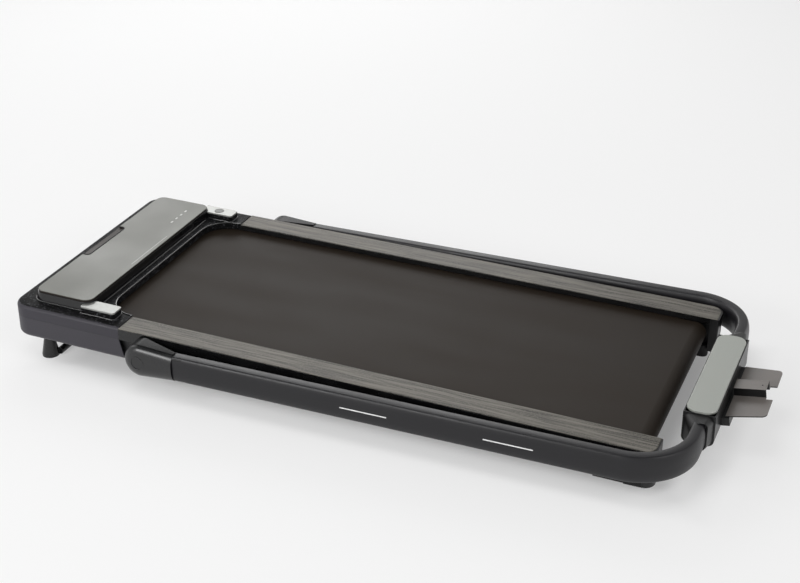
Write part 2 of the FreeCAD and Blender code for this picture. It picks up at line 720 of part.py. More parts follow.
def hood_cover():
    """Upper shell: shoulders, ears beside the belt, plinths under the caps, open under the bezel."""
    outer = hood_plan(0, RAIL_FRONT, SEAM_HEIGHT, SHOULDER_TOP)
    top_edges = edges_at_height(outer, SHOULDER_TOP)
    outside = [edge for edge in top_edges if edge.BoundBox.XMin < RAIL_FRONT - HOOD_TOP_ROUND]
    outer = outer.makeFillet(HOOD_TOP_ROUND, outside)
    outer = outer.cut(belt_mouth(0, SEAM_HEIGHT, SHOULDER_TOP))
    inner = hood_plan(HOOD_WALL, RAIL_FRONT, SEAM_HEIGHT, SHOULDER_TOP - HOOD_WALL)
    inner = inner.cut(belt_mouth(HOOD_WALL, SEAM_HEIGHT, SHOULDER_TOP))
    cover = outer.cut(inner)
    plinth = cap_slab(0, SHOULDER_TOP - HOOD_WALL, CAP_BOTTOM)
    cover = fuse(cover, plinth, mirrored(plinth))
    cover = cover.cut(bezel_body(SEAT_GAP, SHOULDER_TOP, CAP_TOP + HOOD_WALL))
    opening = Part.Face(bezel_wire(-BEZEL_LEDGE, SEAM_HEIGHT)).extrude(V(0, 0, CAP_TOP - SEAM_HEIGHT))
    cover = cover.cut(opening)
    cover = cover.cut(button_pocket())
    passage_front = DRIVE_ROLLER_X - 2 * ROLLER_RADIUS
    passage = block(passage_front, RAIL_FRONT, -SIDE_TUBE_INNER, SIDE_TUBE_INNER, 0, LIP_BOTTOM)
    cover = cover.cut(passage)
    x = HOOD_FRONT + HOOD_SCREW_INSET
    for y in HOOD_SCREW_PLACES:
        boss = rod_z(HOOD_BOSS_RADIUS, x, y, HOOD_WALL, SHOULDER_TOP - HOOD_WALL)
        hole = rod_z(HOOD_SCREW_RADIUS + RUNNING_FIT, x, y, HOOD_WALL, SEAM_HEIGHT)
        cover = fuse(cover, boss).cut(hole)
    return cover


def bottom_rounded(shape, z, radius):
    edges = [edge for edge in edges_at_height(shape, z) if edge.BoundBox.XMin < RAIL_FRONT - HOOD_LENGTH / 2]
    return shape.makeFillet(radius, edges)


def motor_housing():
    """Lower tray: front and side walls and a floor under the drive, open to the rear for the belt."""
    rear = RAIL_FRONT + HOUSING_REAR_SLANT
    outer = bottom_rounded(hood_plan(0, rear, 0, SEAM_HEIGHT), 0, HOUSING_ROUND)
    inner = hood_plan(HOOD_WALL, rear, HOOD_WALL, SEAM_HEIGHT)
    inner = bottom_rounded(inner, HOOD_WALL, HOUSING_ROUND - HOOD_WALL)
    tray = outer.cut(inner)
    side = -HALF_BASE
    slant = polygon([V(RAIL_FRONT, side, SEAM_HEIGHT), V(rear, side, SEAM_HEIGHT), V(rear, side, 0)])
    tray = tray.cut(slant.extrude(V(0, BASE_WIDTH, 0)))
    floor_rear = HOOD_FRONT + HOUSING_FLOOR_LENGTH
    tray = tray.cut(block(floor_rear, rear, -SIDE_TUBE_OUTER, SIDE_TUBE_OUTER, 0, SEAM_HEIGHT))
    tray = tray.cut(port_hole(INLET_Y, INLET_WIDTH, INLET_HEIGHT))
    tray = tray.cut(port_hole(SWITCH_Y, SWITCH_WIDTH, SWITCH_HEIGHT))
    for y in HOOD_SCREW_PLACES:
        x = HOOD_FRONT + HOOD_SCREW_INSET
        tray = tray.cut(rod_z(HOOD_SCREW_RADIUS + SLIP_FIT, x, y, 0, HOOD_WALL))
    return tray


def port_hole(y, width, height):
    grow = SEAT_GAP
    return block(HOOD_FRONT, HOOD_FRONT + HOOD_WALL, y - width / 2 - grow, y + width / 2 + grow,
                 PORT_RISE - height / 2 - grow, PORT_RISE + height / 2 + grow)


def hood_screws():
    screws = []
    for y in HOOD_SCREW_PLACES:
        x = HOOD_FRONT + HOOD_SCREW_INSET
        shank = rod_z(HOOD_SCREW_RADIUS, x, y, 0, SEAM_HEIGHT)
        screws.append(fuse(shank, rod_z(HOOD_SCREW_HEAD_RADIUS, x, y, -HOOD_SCREW_HEAD, 0)))
    return group(screws)


def button_x():
    return (CAP_FRONT + CAP_REAR) / 2


def button_pocket():
    low = CAP_TOP + BUTTON_PROUD - BUTTON_HEIGHT - BUTTON_POCKET
    return rod_z(BUTTON_RADIUS + MOVING_GAP, button_x(), CAP_Y, low, CAP_TOP)


def shoulder_cap():
    cap = cap_slab(0, CAP_BOTTOM, CAP_TOP)
    cap = cap.makeChamfer(STRIP_EDGE, edges_at_height(cap, CAP_TOP))
    return cap.cut(bezel_body(SEAT_GAP, SHOULDER_TOP, CAP_TOP + HOOD_WALL))


def shoulder_cap_with_button():
    return shoulder_cap().cut(button_pocket())


def power_button():
    top = CAP_TOP + BUTTON_PROUD
    disc = rod_z(BUTTON_RADIUS, button_x(), CAP_Y, top - BUTTON_HEIGHT, top)
    return disc.makeFillet(BUTTON_PROUD, edges_at_height(disc, top))


# Drive
def motor_end():
    return -(SIDE_TUBE_INNER - MOTOR_FROM_FRAME)


def drive_motor():
    body = rod_y(MOTOR_RADIUS, MOTOR_X, MOTOR_RISE, motor_end(), motor_end() + MOTOR_LENGTH)
    bore = rod_y(SHAFT_RADIUS + RUNNING_FIT, MOTOR_X, MOTOR_RISE, motor_end(), motor_end() + SHAFT_DEPTH)
    return body.cut(bore)


def pulley_rim(radius):
    return radius + DRIVE_BELT_THICKNESS + BELT_CLEARANCE


def pulley(x, z, radius):
    """Flanged pulley beside the side member, with room for the belt between its flanges."""
    inner = PULLEY_OUTER - PULLEY_WIDTH
    flange = (PULLEY_WIDTH - DRIVE_BELT_WIDTH) / 4
    core = rod_y(radius, x, z, -PULLEY_OUTER, -inner)
    outer_flange = rod_y(pulley_rim(radius), x, z, -PULLEY_OUTER, -PULLEY_OUTER + flange)
    inner_flange = rod_y(pulley_rim(radius), x, z, -inner - flange, -inner)
    return fuse(core, outer_flange, inner_flange)


def motor_rotor():
    """Shaft, flywheel and motor pulley, turning together."""
    shaft = rod_y(SHAFT_RADIUS, MOTOR_X, MOTOR_RISE, -PULLEY_OUTER, motor_end() + SHAFT_DEPTH - RUNNING_FIT)
    middle = (motor_end() - PULLEY_OUTER + PULLEY_WIDTH) / 2
    half = FLYWHEEL_WIDTH / 2
    flywheel = rod_y(FLYWHEEL_RADIUS, MOTOR_X, MOTOR_RISE, middle - half, middle + half)
    return fuse(shaft, flywheel, pulley(MOTOR_X, MOTOR_RISE, MOTOR_PULLEY_RADIUS))


def drive_roller_pulley():
    body = pulley(DRIVE_ROLLER_X, ROLLER_RISE, ROLLER_PULLEY_RADIUS)
    hub = rod_y(ROLLER_RADIUS, DRIVE_ROLLER_X, ROLLER_RISE, -PULLEY_OUTER, -HALF_ROLLER)
    bore = rod_y(AXLE_RADIUS + MOVING_GAP, DRIVE_ROLLER_X, ROLLER_RISE, -PULLEY_OUTER, -HALF_ROLLER)
    return fuse(body, hub).cut(bore)


def drive_belt():
    middle = -PULLEY_OUTER + PULLEY_WIDTH / 2
    return loop_belt(MOTOR_X, MOTOR_RISE, MOTOR_PULLEY_RADIUS + BELT_CLEARANCE, DRIVE_ROLLER_X, ROLLER_RISE,
                     ROLLER_PULLEY_RADIUS + BELT_CLEARANCE, DRIVE_BELT_THICKNESS,
                     middle - DRIVE_BELT_WIDTH / 2, middle + DRIVE_BELT_WIDTH / 2)


def mount_front():
    return HOOD_FRONT + MOUNT_INSET


def motor_mount():
    """Steel plate across the front of the frame, with two saddles under the motor."""
    rear = DRIVE_ROLLER_X - ROLLER_RADIUS - MOUNT_FROM_ROLLER
    plate = block(mount_front(), rear, -SIDE_TUBE_INNER, SIDE_TUBE_INNER, HOOD_WALL, MOUNT_TOP)
    far_end = motor_end() + MOTOR_LENGTH
    seat = rod_y(MOTOR_RADIUS + RUNNING_FIT, MOTOR_X, MOTOR_RISE, motor_end(), far_end)
    saddle_front = MOTOR_X - MOTOR_RADIUS
    saddle_rear = MOTOR_X + MOTOR_RADIUS
    half = SADDLE_THICKNESS / 2
    for y in (motor_end() + SADDLE_INSET, far_end - SADDLE_INSET):
        saddle = block(saddle_front, saddle_rear, y - half, y + half, MOUNT_TOP, MOTOR_RISE)
        plate = fuse(plate, saddle.cut(seat))
    return plate


def motor_controller():
    """Drive electronics in a box whose lid is a finned heat sink."""
    x0 = mount_front() + CONTROLLER_FIN
    x1 = DRIVE_ROLLER_X - ROLLER_RADIUS - CONTROLLER_FROM_ROLLER
    y0 = CONTROLLER_FROM_MIDDLE
    top = MOUNT_TOP + CONTROLLER_HEIGHT
    box = block(x0, x1, y0, y0 + CONTROLLER_WIDTH, MOUNT_TOP, top)
    step = (CONTROLLER_WIDTH - CONTROLLER_FIN) / (CONTROLLER_FIN_COUNT - 1)
    fins = []
    for index in range(CONTROLLER_FIN_COUNT):
        y = y0 + step * index
        fins.append(block(x0, x1, y, y + CONTROLLER_FIN, top, top + CONTROLLER_FIN_HEIGHT))
    return fuse(box, *fins)


# Power inlet and switch
def port_body(y, width, height, depth):
    """Box through the front wall, flush outside, with a flange behind the wall."""
    body = block(HOOD_FRONT, HOOD_FRONT + depth, y - width / 2, y + width / 2, PORT_RISE - height / 2,
                 PORT_RISE + height / 2)
    flange = block(HOOD_FRONT + HOOD_WALL, HOOD_FRONT + HOOD_WALL + INLET_FLANGE / 2,
                   y - width / 2 - INLET_FLANGE, y + width / 2 + INLET_FLANGE,
                   PORT_RISE - height / 2 - INLET_FLANGE, PORT_RISE + height / 2 + INLET_FLANGE)
    return fuse(body, flange)


def port_cavity(y, width, height, depth, wall):
    return block(HOOD_FRONT, HOOD_FRONT + depth - wall, y - width / 2 + wall, y + width / 2 - wall,
                 PORT_RISE - height / 2 + wall, PORT_RISE + height / 2 - wall)


def power_inlet():
    inlet = port_body(INLET_Y, INLET_WIDTH, INLET_HEIGHT, INLET_DEPTH)
    inlet = inlet.cut(port_cavity(INLET_Y, INLET_WIDTH, INLET_HEIGHT, INLET_DEPTH, INLET_WALL))
    back = HOOD_FRONT + INLET_DEPTH - INLET_WALL
    for offset, rise in ((-INLET_PIN_PITCH, 0), (0, INLET_PIN_PITCH / 2), (INLET_PIN_PITCH, 0)):
        y = INLET_Y + offset
        z = PORT_RISE + rise
        pin = block(back - INLET_PIN_LENGTH, back, y - INLET_PIN_THICKNESS / 2, y + INLET_PIN_THICKNESS / 2,
                    z - INLET_PIN_WIDTH / 2, z + INLET_PIN_WIDTH / 2)
        inlet = fuse(inlet, pin)
    return inlet


def power_switch_frame():
    frame = port_body(SWITCH_Y, SWITCH_WIDTH, SWITCH_HEIGHT, SWITCH_DEPTH)
    return frame.cut(port_cavity(SWITCH_Y, SWITCH_WIDTH, SWITCH_HEIGHT, SWITCH_DEPTH, SWITCH_WALL))


def power_switch_rocker():
    """Rocker with a shallow valley across its face, drawn in its off position."""
    half_height = SWITCH_HEIGHT / 2 - SWITCH_WALL - ROCKER_GAP
    half_width = SWITCH_WIDTH / 2 - SWITCH_WALL - MOVING_GAP
    valley = ROCKER_AXIS_DEPTH - 2 * SWITCH_WALL
    face = valley + half_height * math.tan(math.radians(ROCKER_ANGLE))
    x = HOOD_FRONT + ROCKER_AXIS_DEPTH
    half_back = half_height / 2
    front_points = [(-face, half_height), (-valley, 0), (-face, -half_height)]
    back_points = [(face, -half_back), (face, half_back)]
    points = front_points + back_points
    section = polygon([V(x + u, SWITCH_Y - half_width, PORT_RISE + w) for u, w in points])
    rocker = section.extrude(V(0, 2 * half_width, 0))
    rocker.rotate(V(x, 0, PORT_RISE), V(0, 1, 0), -ROCKER_ANGLE)
    return rocker


# Feet and transport wheels
def floor_height(x):
    """Height of the floor in the base frame, under that x."""
    return (x * math.sin(INCLINE) - BASE_LIFT) / math.cos(INCLINE)


def stood_on_floor(shape):
    return set_down(shape).cut(floor_below())


def front_feet():
    """Cone feet under the hood, joined behind by a bar just above the floor."""
    low = floor_height(FOOT_X)
    rim = rod_z(FOOT_BASE_RADIUS, FOOT_X, FOOT_Y, low - FOOT_RIM, low + FOOT_RIM)
    cone_base = V(FOOT_X, FOOT_Y, low + FOOT_RIM)
    cone = Part.makeCone(FOOT_BASE_RADIUS, FOOT_TOP_RADIUS, -low - FOOT_RIM, cone_base)
    foot = stood_on_floor(fuse(rim, cone))
    bar_x = FOOT_X + FOOT_BASE_RADIUS
    bar_rise = floor_height(bar_x) + FOOT_BAR_FLOOR_GAP + FOOT_BAR_RADIUS
    bar_end = FOOT_Y - FOOT_BAR_BEFORE_FOOT
    bar = rod_y(FOOT_BAR_RADIUS, bar_x, bar_rise, -bar_end, bar_end)
    return fuse(foot, mirrored(foot), set_down(bar))


def rear_feet():
    """Pads under the side members: a heel on the floor behind a toe held just above it."""
    rear = CAP_FACE_X - SEAT_GAP
    front = rear - REAR_FOOT_LENGTH
    outer = HALF_BASE - REAR_FOOT_FROM_SIDE
    inner = outer - REAR_FOOT_WIDTH
    low = floor_height(front) - FOOT_RIM
    radii = (0, REAR_FOOT_ROUND, REAR_FOOT_ROUND, 0)
    pad = slab(front, rear, inner, outer, low, HOOD_WALL, radii)
    under_toe = block(front, rear - REAR_FOOT_HEEL, inner, outer, low, floor_height(front) + REAR_FOOT_STEP)
    return pair(stood_on_floor(pad.cut(under_toe)))


def wheel_rise():
    return floor_height(WHEEL_X) + WHEEL_FLOOR_GAP + WHEEL_RADIUS


def transport_wheel():
    y0 = WHEEL_Y - WHEEL_WIDTH / 2
    y1 = WHEEL_Y + WHEEL_WIDTH / 2
    tyre = rod_y(WHEEL_RADIUS, WHEEL_X, wheel_rise(), y0, y1)
    tyre = tyre.makeFillet(WHEEL_RIM_ROUND, edges_at_y(tyre, y0) + edges_at_y(tyre, y1))
    return tyre.cut(rod_y(WHEEL_AXLE_RADIUS + RUNNING_FIT, WHEEL_X, wheel_rise(), y0, y1))


def wheel_brackets():
    """Fork under the housing floor, with the wheel's axle through its cheeks."""
    inner = WHEEL_WIDTH / 2 + FORK_SIDE_GAP
    outer = inner + FORK_THICKNESS
    fork = rod_y(WHEEL_AXLE_RADIUS, WHEEL_X, wheel_rise(), WHEEL_Y - outer, WHEEL_Y + outer)
    half = FORK_WIDTH / 2
    for y0, y1 in ((WHEEL_Y - outer, WHEEL_Y - inner), (WHEEL_Y + inner, WHEEL_Y + outer)):
        cheek = block(WHEEL_X - half, WHEEL_X + half, y0, y1, wheel_rise(), 0)
        end = rod_y(half, WHEEL_X, wheel_rise(), y0, y1)
        fork = fuse(fork, cheek, end)
    return pair(fork)


# Hinges of the handlebar
def hinge_brackets():
    half = BRACKET_LENGTH / 2
    face = SIDE_TUBE_OUTER + BRACKET_THICKNESS
    plate = block(PIVOT_BASE_X - half, PIVOT_BASE_X + half, SIDE_TUBE_OUTER, face, HOOD_WALL, RAIL_UNDERSIDE)
    boss = rod_y(BRACKET_BOSS_RADIUS, PIVOT_BASE_X, PIVOT_RISE, face, BOSS_FACE)
    hole = rod_y(PIN_RADIUS + SLIP_FIT, PIVOT_BASE_X, PIVOT_RISE, SIDE_TUBE_OUTER, BOSS_FACE)
    return pair(set_down(fuse(plate, boss).cut(hole)))


def pivot_pins():
    """Shoulder bolts through the frame, with their nuts inside the side members."""
    nut_face = SIDE_TUBE_OUTER - SIDE_TUBE_WALL
    head_face = BLOCK_OUTER + MOVING_GAP
    shank = rod_y(PIN_RADIUS, PIVOT_X, PIVOT_Z, nut_face - PIN_NUT, head_face)
    head_end = COVER_OUTER - COVER_WALL - HINGE_GAP
    bolt = fuse(shank, rod_y(PIN_HEAD_RADIUS, PIVOT_X, PIVOT_Z, head_face, head_end))
    nut = rod_y(PIN_NUT_RADIUS, PIVOT_X, PIVOT_Z, nut_face - PIN_NUT, nut_face)
    nut = nut.cut(rod_y(PIN_RADIUS + RUNNING_FIT, PIVOT_X, PIVOT_Z, nut_face - PIN_NUT, nut_face))
    return group([bolt, nut, mirrored(bolt), mirrored(nut)])


def bush_radius():
    return PIN_RADIUS + RUNNING_FIT + BUSH_WALL


def pivot_bushes():
    barrel = rod_y(bush_radius(), PIVOT_X, PIVOT_Z, BLOCK_INNER, BLOCK_OUTER)
    flange = rod_y(BUSH_FLANGE_RADIUS, PIVOT_X, PIVOT_Z, BOSS_FACE + HINGE_GAP, BLOCK_INNER)
    bore = rod_y(PIN_RADIUS + RUNNING_FIT, PIVOT_X, PIVOT_Z, BOSS_FACE, BLOCK_OUTER)
    return pair(fuse(barrel, flange).cut(bore))


def tube_section(shrink, x):
    """Section of a post across its length, shrunk from the tube's outside."""
    half_width = TUBE_WIDTH / 2 - shrink
    half_height = TUBE_HEIGHT / 2 - shrink
    radii = [corner - shrink for corner in TUBE_CORNERS]
    return cross_outline(POST_Y - half_width, POST_Y + half_width,
                         PIVOT_Z - half_height, PIVOT_Z + half_height, radii, x)


def hinge_blocks():
    """Steel ends plugged into the posts, with an eye round the pivot."""
    bar = Part.Face(tube_section(TUBE_WALL + SEAT_GAP, PIVOT_X)).extrude(V(BLOCK_LENGTH, 0, 0))
    eye = rod_y(BLOCK_RADIUS, PIVOT_X, PIVOT_Z, BLOCK_INNER, BLOCK_OUTER)
    bore = rod_y(bush_radius() + RUNNING_FIT, PIVOT_X, PIVOT_Z, BLOCK_INNER, BLOCK_OUTER)
    return pair(fuse(bar, eye).cut(bore))


def cover_profile(shrink, y):
    """Side view of a pivot cover: round about the pivot, drawn in to the tube's height at the rear."""
    radius = COVER_RADIUS - shrink
    rear_x = COVER_REAR - PIVOT_X
    rear_z = COVER_REAR_HEIGHT / 2 - shrink
    angle = math.atan2(rear_z, rear_x) + math.acos(radius / math.hypot(rear_x, rear_z))
    top = V(PIVOT_X + radius * math.cos(angle), y, PIVOT_Z + radius * math.sin(angle))
    bottom = V(top.x, y, 2 * PIVOT_Z - top.z)
    front = V(PIVOT_X - radius, y, PIVOT_Z)
    rear_top = V(COVER_REAR, y, PIVOT_Z + rear_z)
    rear_bottom = V(COVER_REAR, y, PIVOT_Z - rear_z)
    edges = [
        Part.Arc(top, front, bottom).toShape(),
        Part.LineSegment(bottom, rear_bottom).toShape(),
        Part.LineSegment(rear_bottom, rear_top).toShape(),
        Part.LineSegment(rear_top, top).toShape(),
    ]
    return Part.Face(Part.Wire(edges))


def cover_bevel(shrink, y0):
    """Wedge off the cover's inner top edge: nothing at the pivot, the full bevel at the rear."""
    start = V(PIVOT_X, y0, PIVOT_Z + COVER_RADIUS - shrink)
    across = V(0, COVER_BEVEL, COVER_BEVEL)
    rear_middle = V(COVER_REAR, y0, PIVOT_Z + COVER_REAR_HEIGHT / 2 - shrink - COVER_BEVEL) + across / 2
    along = rear_middle - start
    ahead = start - along / 2
    behind = start + along * 2
    corners = [ahead - across * 2, behind - across * 2, behind + across * 2, ahead + across * 2]
    return polygon(corners).extrude(V(0, -COVER_RADIUS, COVER_RADIUS))


def cover_body(shrink):
    """Solid within the cover, shrunk evenly, its outer edge rounded and its inner top edge bevelled."""
    y0 = COVER_INNER + shrink
    y1 = COVER_OUTER - shrink
    body = cover_profile(shrink, y0).extrude(V(0, y1 - y0, 0))
    edges = [edge for edge in edges_at_y(body, y1) if edge.BoundBox.XMin < COVER_REAR - COVER_WALL]
    return body.makeFillet(COVER_ROUND - shrink, edges).cut(cover_bevel(shrink, y0))


def pivot_cover():
    cover = cover_body(0).cut(cover_body(COVER_WALL))
    passage = Part.Face(tube_section(-SEAT_GAP, TUBE_FRONT)).extrude(V(COVER_LENGTH, 0, 0))
    cover = cover.cut(passage)
    inner_face = COVER_INNER + COVER_WALL
    cover = cover.cut(rod_y(BUSH_FLANGE_RADIUS + MOVING_GAP, PIVOT_X, PIVOT_Z, COVER_INNER, inner_face))
    ring = rod_y(RING_RADIUS, PIVOT_X, PIVOT_Z, COVER_OUTER, COVER_OUTER + RING_PROUD)
    ring = ring.cut(rod_y(RING_RADIUS - RING_WIDTH, PIVOT_X, PIVOT_Z, COVER_OUTER, COVER_OUTER + RING_PROUD))
    return fuse(cover, ring)


def handlebar_rests():
    """Angles on the side members, under the folded posts."""
    x0 = PIVOT_X + REST_SETBACK
    top = TUBE_BOTTOM - MOVING_GAP
    shelf = block(x0, x0 + REST_LENGTH, SIDE_TUBE_OUTER, POST_Y, top - REST_THICKNESS, top)
    leg_face = SIDE_TUBE_OUTER + REST_THICKNESS
    leg = block(x0, x0 + REST_LENGTH, SIDE_TUBE_OUTER, leg_face, top, top + REST_LEG)
    return pair(fuse(shelf, leg))


def handlebar_post():
    """Tube along the base, bent inwards at the rear and ending inside the console."""
    ring = Part.Face([tube_section(0, TUBE_FRONT), tube_section(TUBE_WALL, TUBE_FRONT)])
    bend_x = CROSS_TUBE_X - BEND_RADIUS
    along = ring.extrude(V(bend_x - TUBE_FRONT, 0, 0))
    turned = ring.copy()
    turned.translate(V(bend_x - TUBE_FRONT, 0, 0))
    bend = turned.revolve(V(bend_x, POST_Y - BEND_RADIUS, PIVOT_Z), V(0, 0, -1), 90)
    turned.rotate(V(bend_x, POST_Y - BEND_RADIUS, PIVOT_Z), V(0, 0, -1), 90)
    across = turned.extrude(V(0, HALF_CONSOLE - TUBE_ENGAGEMENT - POST_Y + BEND_RADIUS, 0))
    return fuse(along, bend, across)


# Console
def cross_tube_outline(grow, y):
    half_width = TUBE_WIDTH / 2 + grow
    half_height = TUBE_HEIGHT / 2 + grow
    radii = [corner + grow for corner in TUBE_CORNERS]
    return upright_outline(CROSS_TUBE_X - half_width, CROSS_TUBE_X + half_width, PIVOT_Z - half_height,
                           PIVOT_Z + half_height, radii, y)


def console_crossbar():
    """Steel bar inside the console, plugged into both posts."""
    reach = HALF_CONSOLE - TUBE_ENGAGEMENT + CROSSBAR_GRIP
    outer = cross_tube_outline(-TUBE_WALL - SEAT_GAP, -reach)
    inner = cross_tube_outline(-2 * TUBE_WALL - SEAT_GAP, -reach)
    return Part.Face([outer, inner]).extrude(V(0, 2 * reach, 0))


def console_section(shrink, y):
    corner = CONSOLE_CORNER - shrink
    return upright_outline(CONSOLE_FRONT + shrink, CONSOLE_REAR - shrink,
                           HOUSING_BOTTOM + shrink, HOUSING_TOP, (corner, corner, 0, 0), y)


def console_housing():
    floor_top = HOUSING_BOTTOM + CONSOLE_WALL
    inside_end = CONSOLE_WALL - HALF_CONSOLE
    outer = Part.Face(console_section(0, -HALF_CONSOLE)).extrude(V(0, CONSOLE_LENGTH, 0))
    inner = Part.Face(console_section(CONSOLE_WALL, inside_end)).extrude(V(0, -2 * inside_end, 0))
    housing = outer.cut(inner)
    tube_hole = Part.Face(cross_tube_outline(SEAT_GAP, -HALF_CONSOLE)).extrude(V(0, CONSOLE_LENGTH, 0))
    housing = housing.cut(tube_hole)
    housing = housing.cut(display_slab(SEAT_GAP, HOUSING_BOTTOM, floor_top))
    for y in (MINUS_Y, START_Y, PLUS_Y):
        hole = rod_z(CONSOLE_BUTTON_RADIUS + MOVING_GAP, CONSOLE_X, y, HOUSING_BOTTOM, floor_top)
        housing = housing.cut(hole)
    for x, y in console_screw_places():
        housing = housing.cut(rod_z(CONSOLE_SCREW_RADIUS + RUNNING_FIT, x, y, HOUSING_BOTTOM, floor_top))
    return housing


def console_back_plate():
    corners = (PLATE_CORNER,) * 4
    half = HALF_CONSOLE - PLATE_INSET
    plate = slab(CONSOLE_FRONT + PLATE_INSET, CONSOLE_REAR - PLATE_INSET, -half, half, HOUSING_TOP, PLATE_TOP,
                 corners)
    return plate.makeChamfer(STRIP_EDGE, edges_at_height(plate, PLATE_TOP))


def console_collars():
    """Boots from the ends of the console down to the posts."""
    wide = upright_outline(CONSOLE_FRONT + COLLAR_WALL, CONSOLE_REAR - COLLAR_WALL,
                           HOUSING_BOTTOM + COLLAR_WALL, HOUSING_TOP - COLLAR_WALL / 2,
                           (CONSOLE_CORNER,) * 4, HALF_CONSOLE)
    narrow = cross_tube_outline(COLLAR_WALL, HALF_CONSOLE + COLLAR_LENGTH)
    body = Part.makeLoft([wide, narrow], True)
    tube_hole = Part.Face(cross_tube_outline(SEAT_GAP, HALF_CONSOLE)).extrude(V(0, COLLAR_LENGTH, 0))
    return pair(body.cut(tube_hole))


def display_slab(grow, z0, z1):
    half_width = CONSOLE_WIDTH / 2 - CONSOLE_CORNER - DISPLAY_EDGE - DISPLAY_FLANGE + grow
    half_length = HALF_CONSOLE - DISPLAY_FROM_END + grow
    return block(CONSOLE_X - half_width, CONSOLE_X + half_width, -half_length, half_length, z0, z1)


def console_display():
    floor_top = HOUSING_BOTTOM + CONSOLE_WALL
    lens = display_slab(0, HOUSING_BOTTOM, floor_top)
    return fuse(lens, display_slab(DISPLAY_FLANGE, floor_top, floor_top + DISPLAY_THICKNESS))


def console_button(y):
    low = HOUSING_BOTTOM - CONSOLE_BUTTON_PROUD
    floor_top = HOUSING_BOTTOM + CONSOLE_WALL
    key = rod_z(CONSOLE_BUTTON_RADIUS, CONSOLE_X, y, low, low + CONSOLE_BUTTON_HEIGHT)
    key = key.makeFillet(CONSOLE_BUTTON_PROUD / 2, edges_at_height(key, low))
    flange = rod_z(CONSOLE_BUTTON_RADIUS + CONSOLE_BUTTON_FLANGE, CONSOLE_X, y, floor_top,
                   floor_top + CONSOLE_BUTTON_FLANGE)
    return fuse(key, flange)


def console_screw_places():
    y = HALF_CONSOLE - CONSOLE_SCREW_EDGE
    x = CONSOLE_WIDTH / 2 - CONSOLE_CORNER - CONSOLE_SCREW_HEAD_RADIUS
    return [(CONSOLE_X + side * x, end * y) for side in (-1, 1) for end in (-1, 1)]


def console_screws():
    screws = []
    for x, y in console_screw_places():
        shank = rod_z(CONSOLE_SCREW_RADIUS, x, y, HOUSING_BOTTOM, HOUSING_BOTTOM + CONSOLE_SCREW_LENGTH)
        head = rod_z(CONSOLE_SCREW_HEAD_RADIUS, x, y, HOUSING_BOTTOM - CONSOLE_SCREW_HEAD, HOUSING_BOTTOM)
        screws.append(fuse(shank, head))
    return group(screws)


# Phone holder
def tipped_up(shape):
    """Holder frame to floor frame: tipped up about the rear wall of the console."""
    placed = shape.copy()
    placed.rotate(V(0, 0, 0), V(0, 1, 0), -HOLDER_TILT)
    placed.translate(V(CONSOLE_REAR, 0, PLATE_TOP - HOLDER_BELOW_TOP))
    return placed


def phone_holder():
    """Bent sheet with a raised channel along its middle and a notch between its two tabs."""
    tip = HOLDER_REACH / math.cos(math.radians(HOLDER_TILT))
    root_half = HOLDER_WIDTH / 2
    tip_half = HOLDER_TIP_WIDTH / 2
    channel = CHANNEL_WIDTH / 2
    inside = channel - HOLDER_SHEET
    notch = NOTCH_WIDTH / 2
    sheet = polygon([V(HOLDER_START, -root_half, 0), V(tip, -tip_half, 0), V(tip, tip_half, 0),
                     V(HOLDER_START, root_half, 0)]).extrude(V(0, 0, HOLDER_SHEET))
    sheet = sheet.makeFillet(HOLDER_CORNER, upright_edges_at_x(sheet, tip))
    sheet = sheet.cut(block(tip - NOTCH_DEPTH, tip, -notch, notch, 0, HOLDER_SHEET))
    rib = block(HOLDER_START, tip - NOTCH_DEPTH, -channel, channel, 0, CHANNEL_HEIGHT)
    groove = block(HOLDER_START, tip - NOTCH_DEPTH, -inside, inside, 0, CHANNEL_HEIGHT - HOLDER_SHEET)
    hole = rod_z(HOLDER_HOLE_RADIUS, tip - NOTCH_DEPTH - HOLDER_HOLE_FROM_END, 0, 0, CHANNEL_HEIGHT)
    return tipped_up(cut(fuse(sheet, rib), groove, hole))


def phone_holder_bracket():
    half = HOLDER_WIDTH / 2 + HOLDER_BRACKET_PAST_HOLDER
    reach = HOLDER_BRACKET_LENGTH
    bar = tipped_up(block(-reach, reach, -half, half, -HOLDER_BRACKET_HEIGHT, 0))
    inside_console = block(CONSOLE_FRONT, CONSOLE_REAR, -half, half, 0, PLATE_TOP)
    return bar.cut(inside_console)


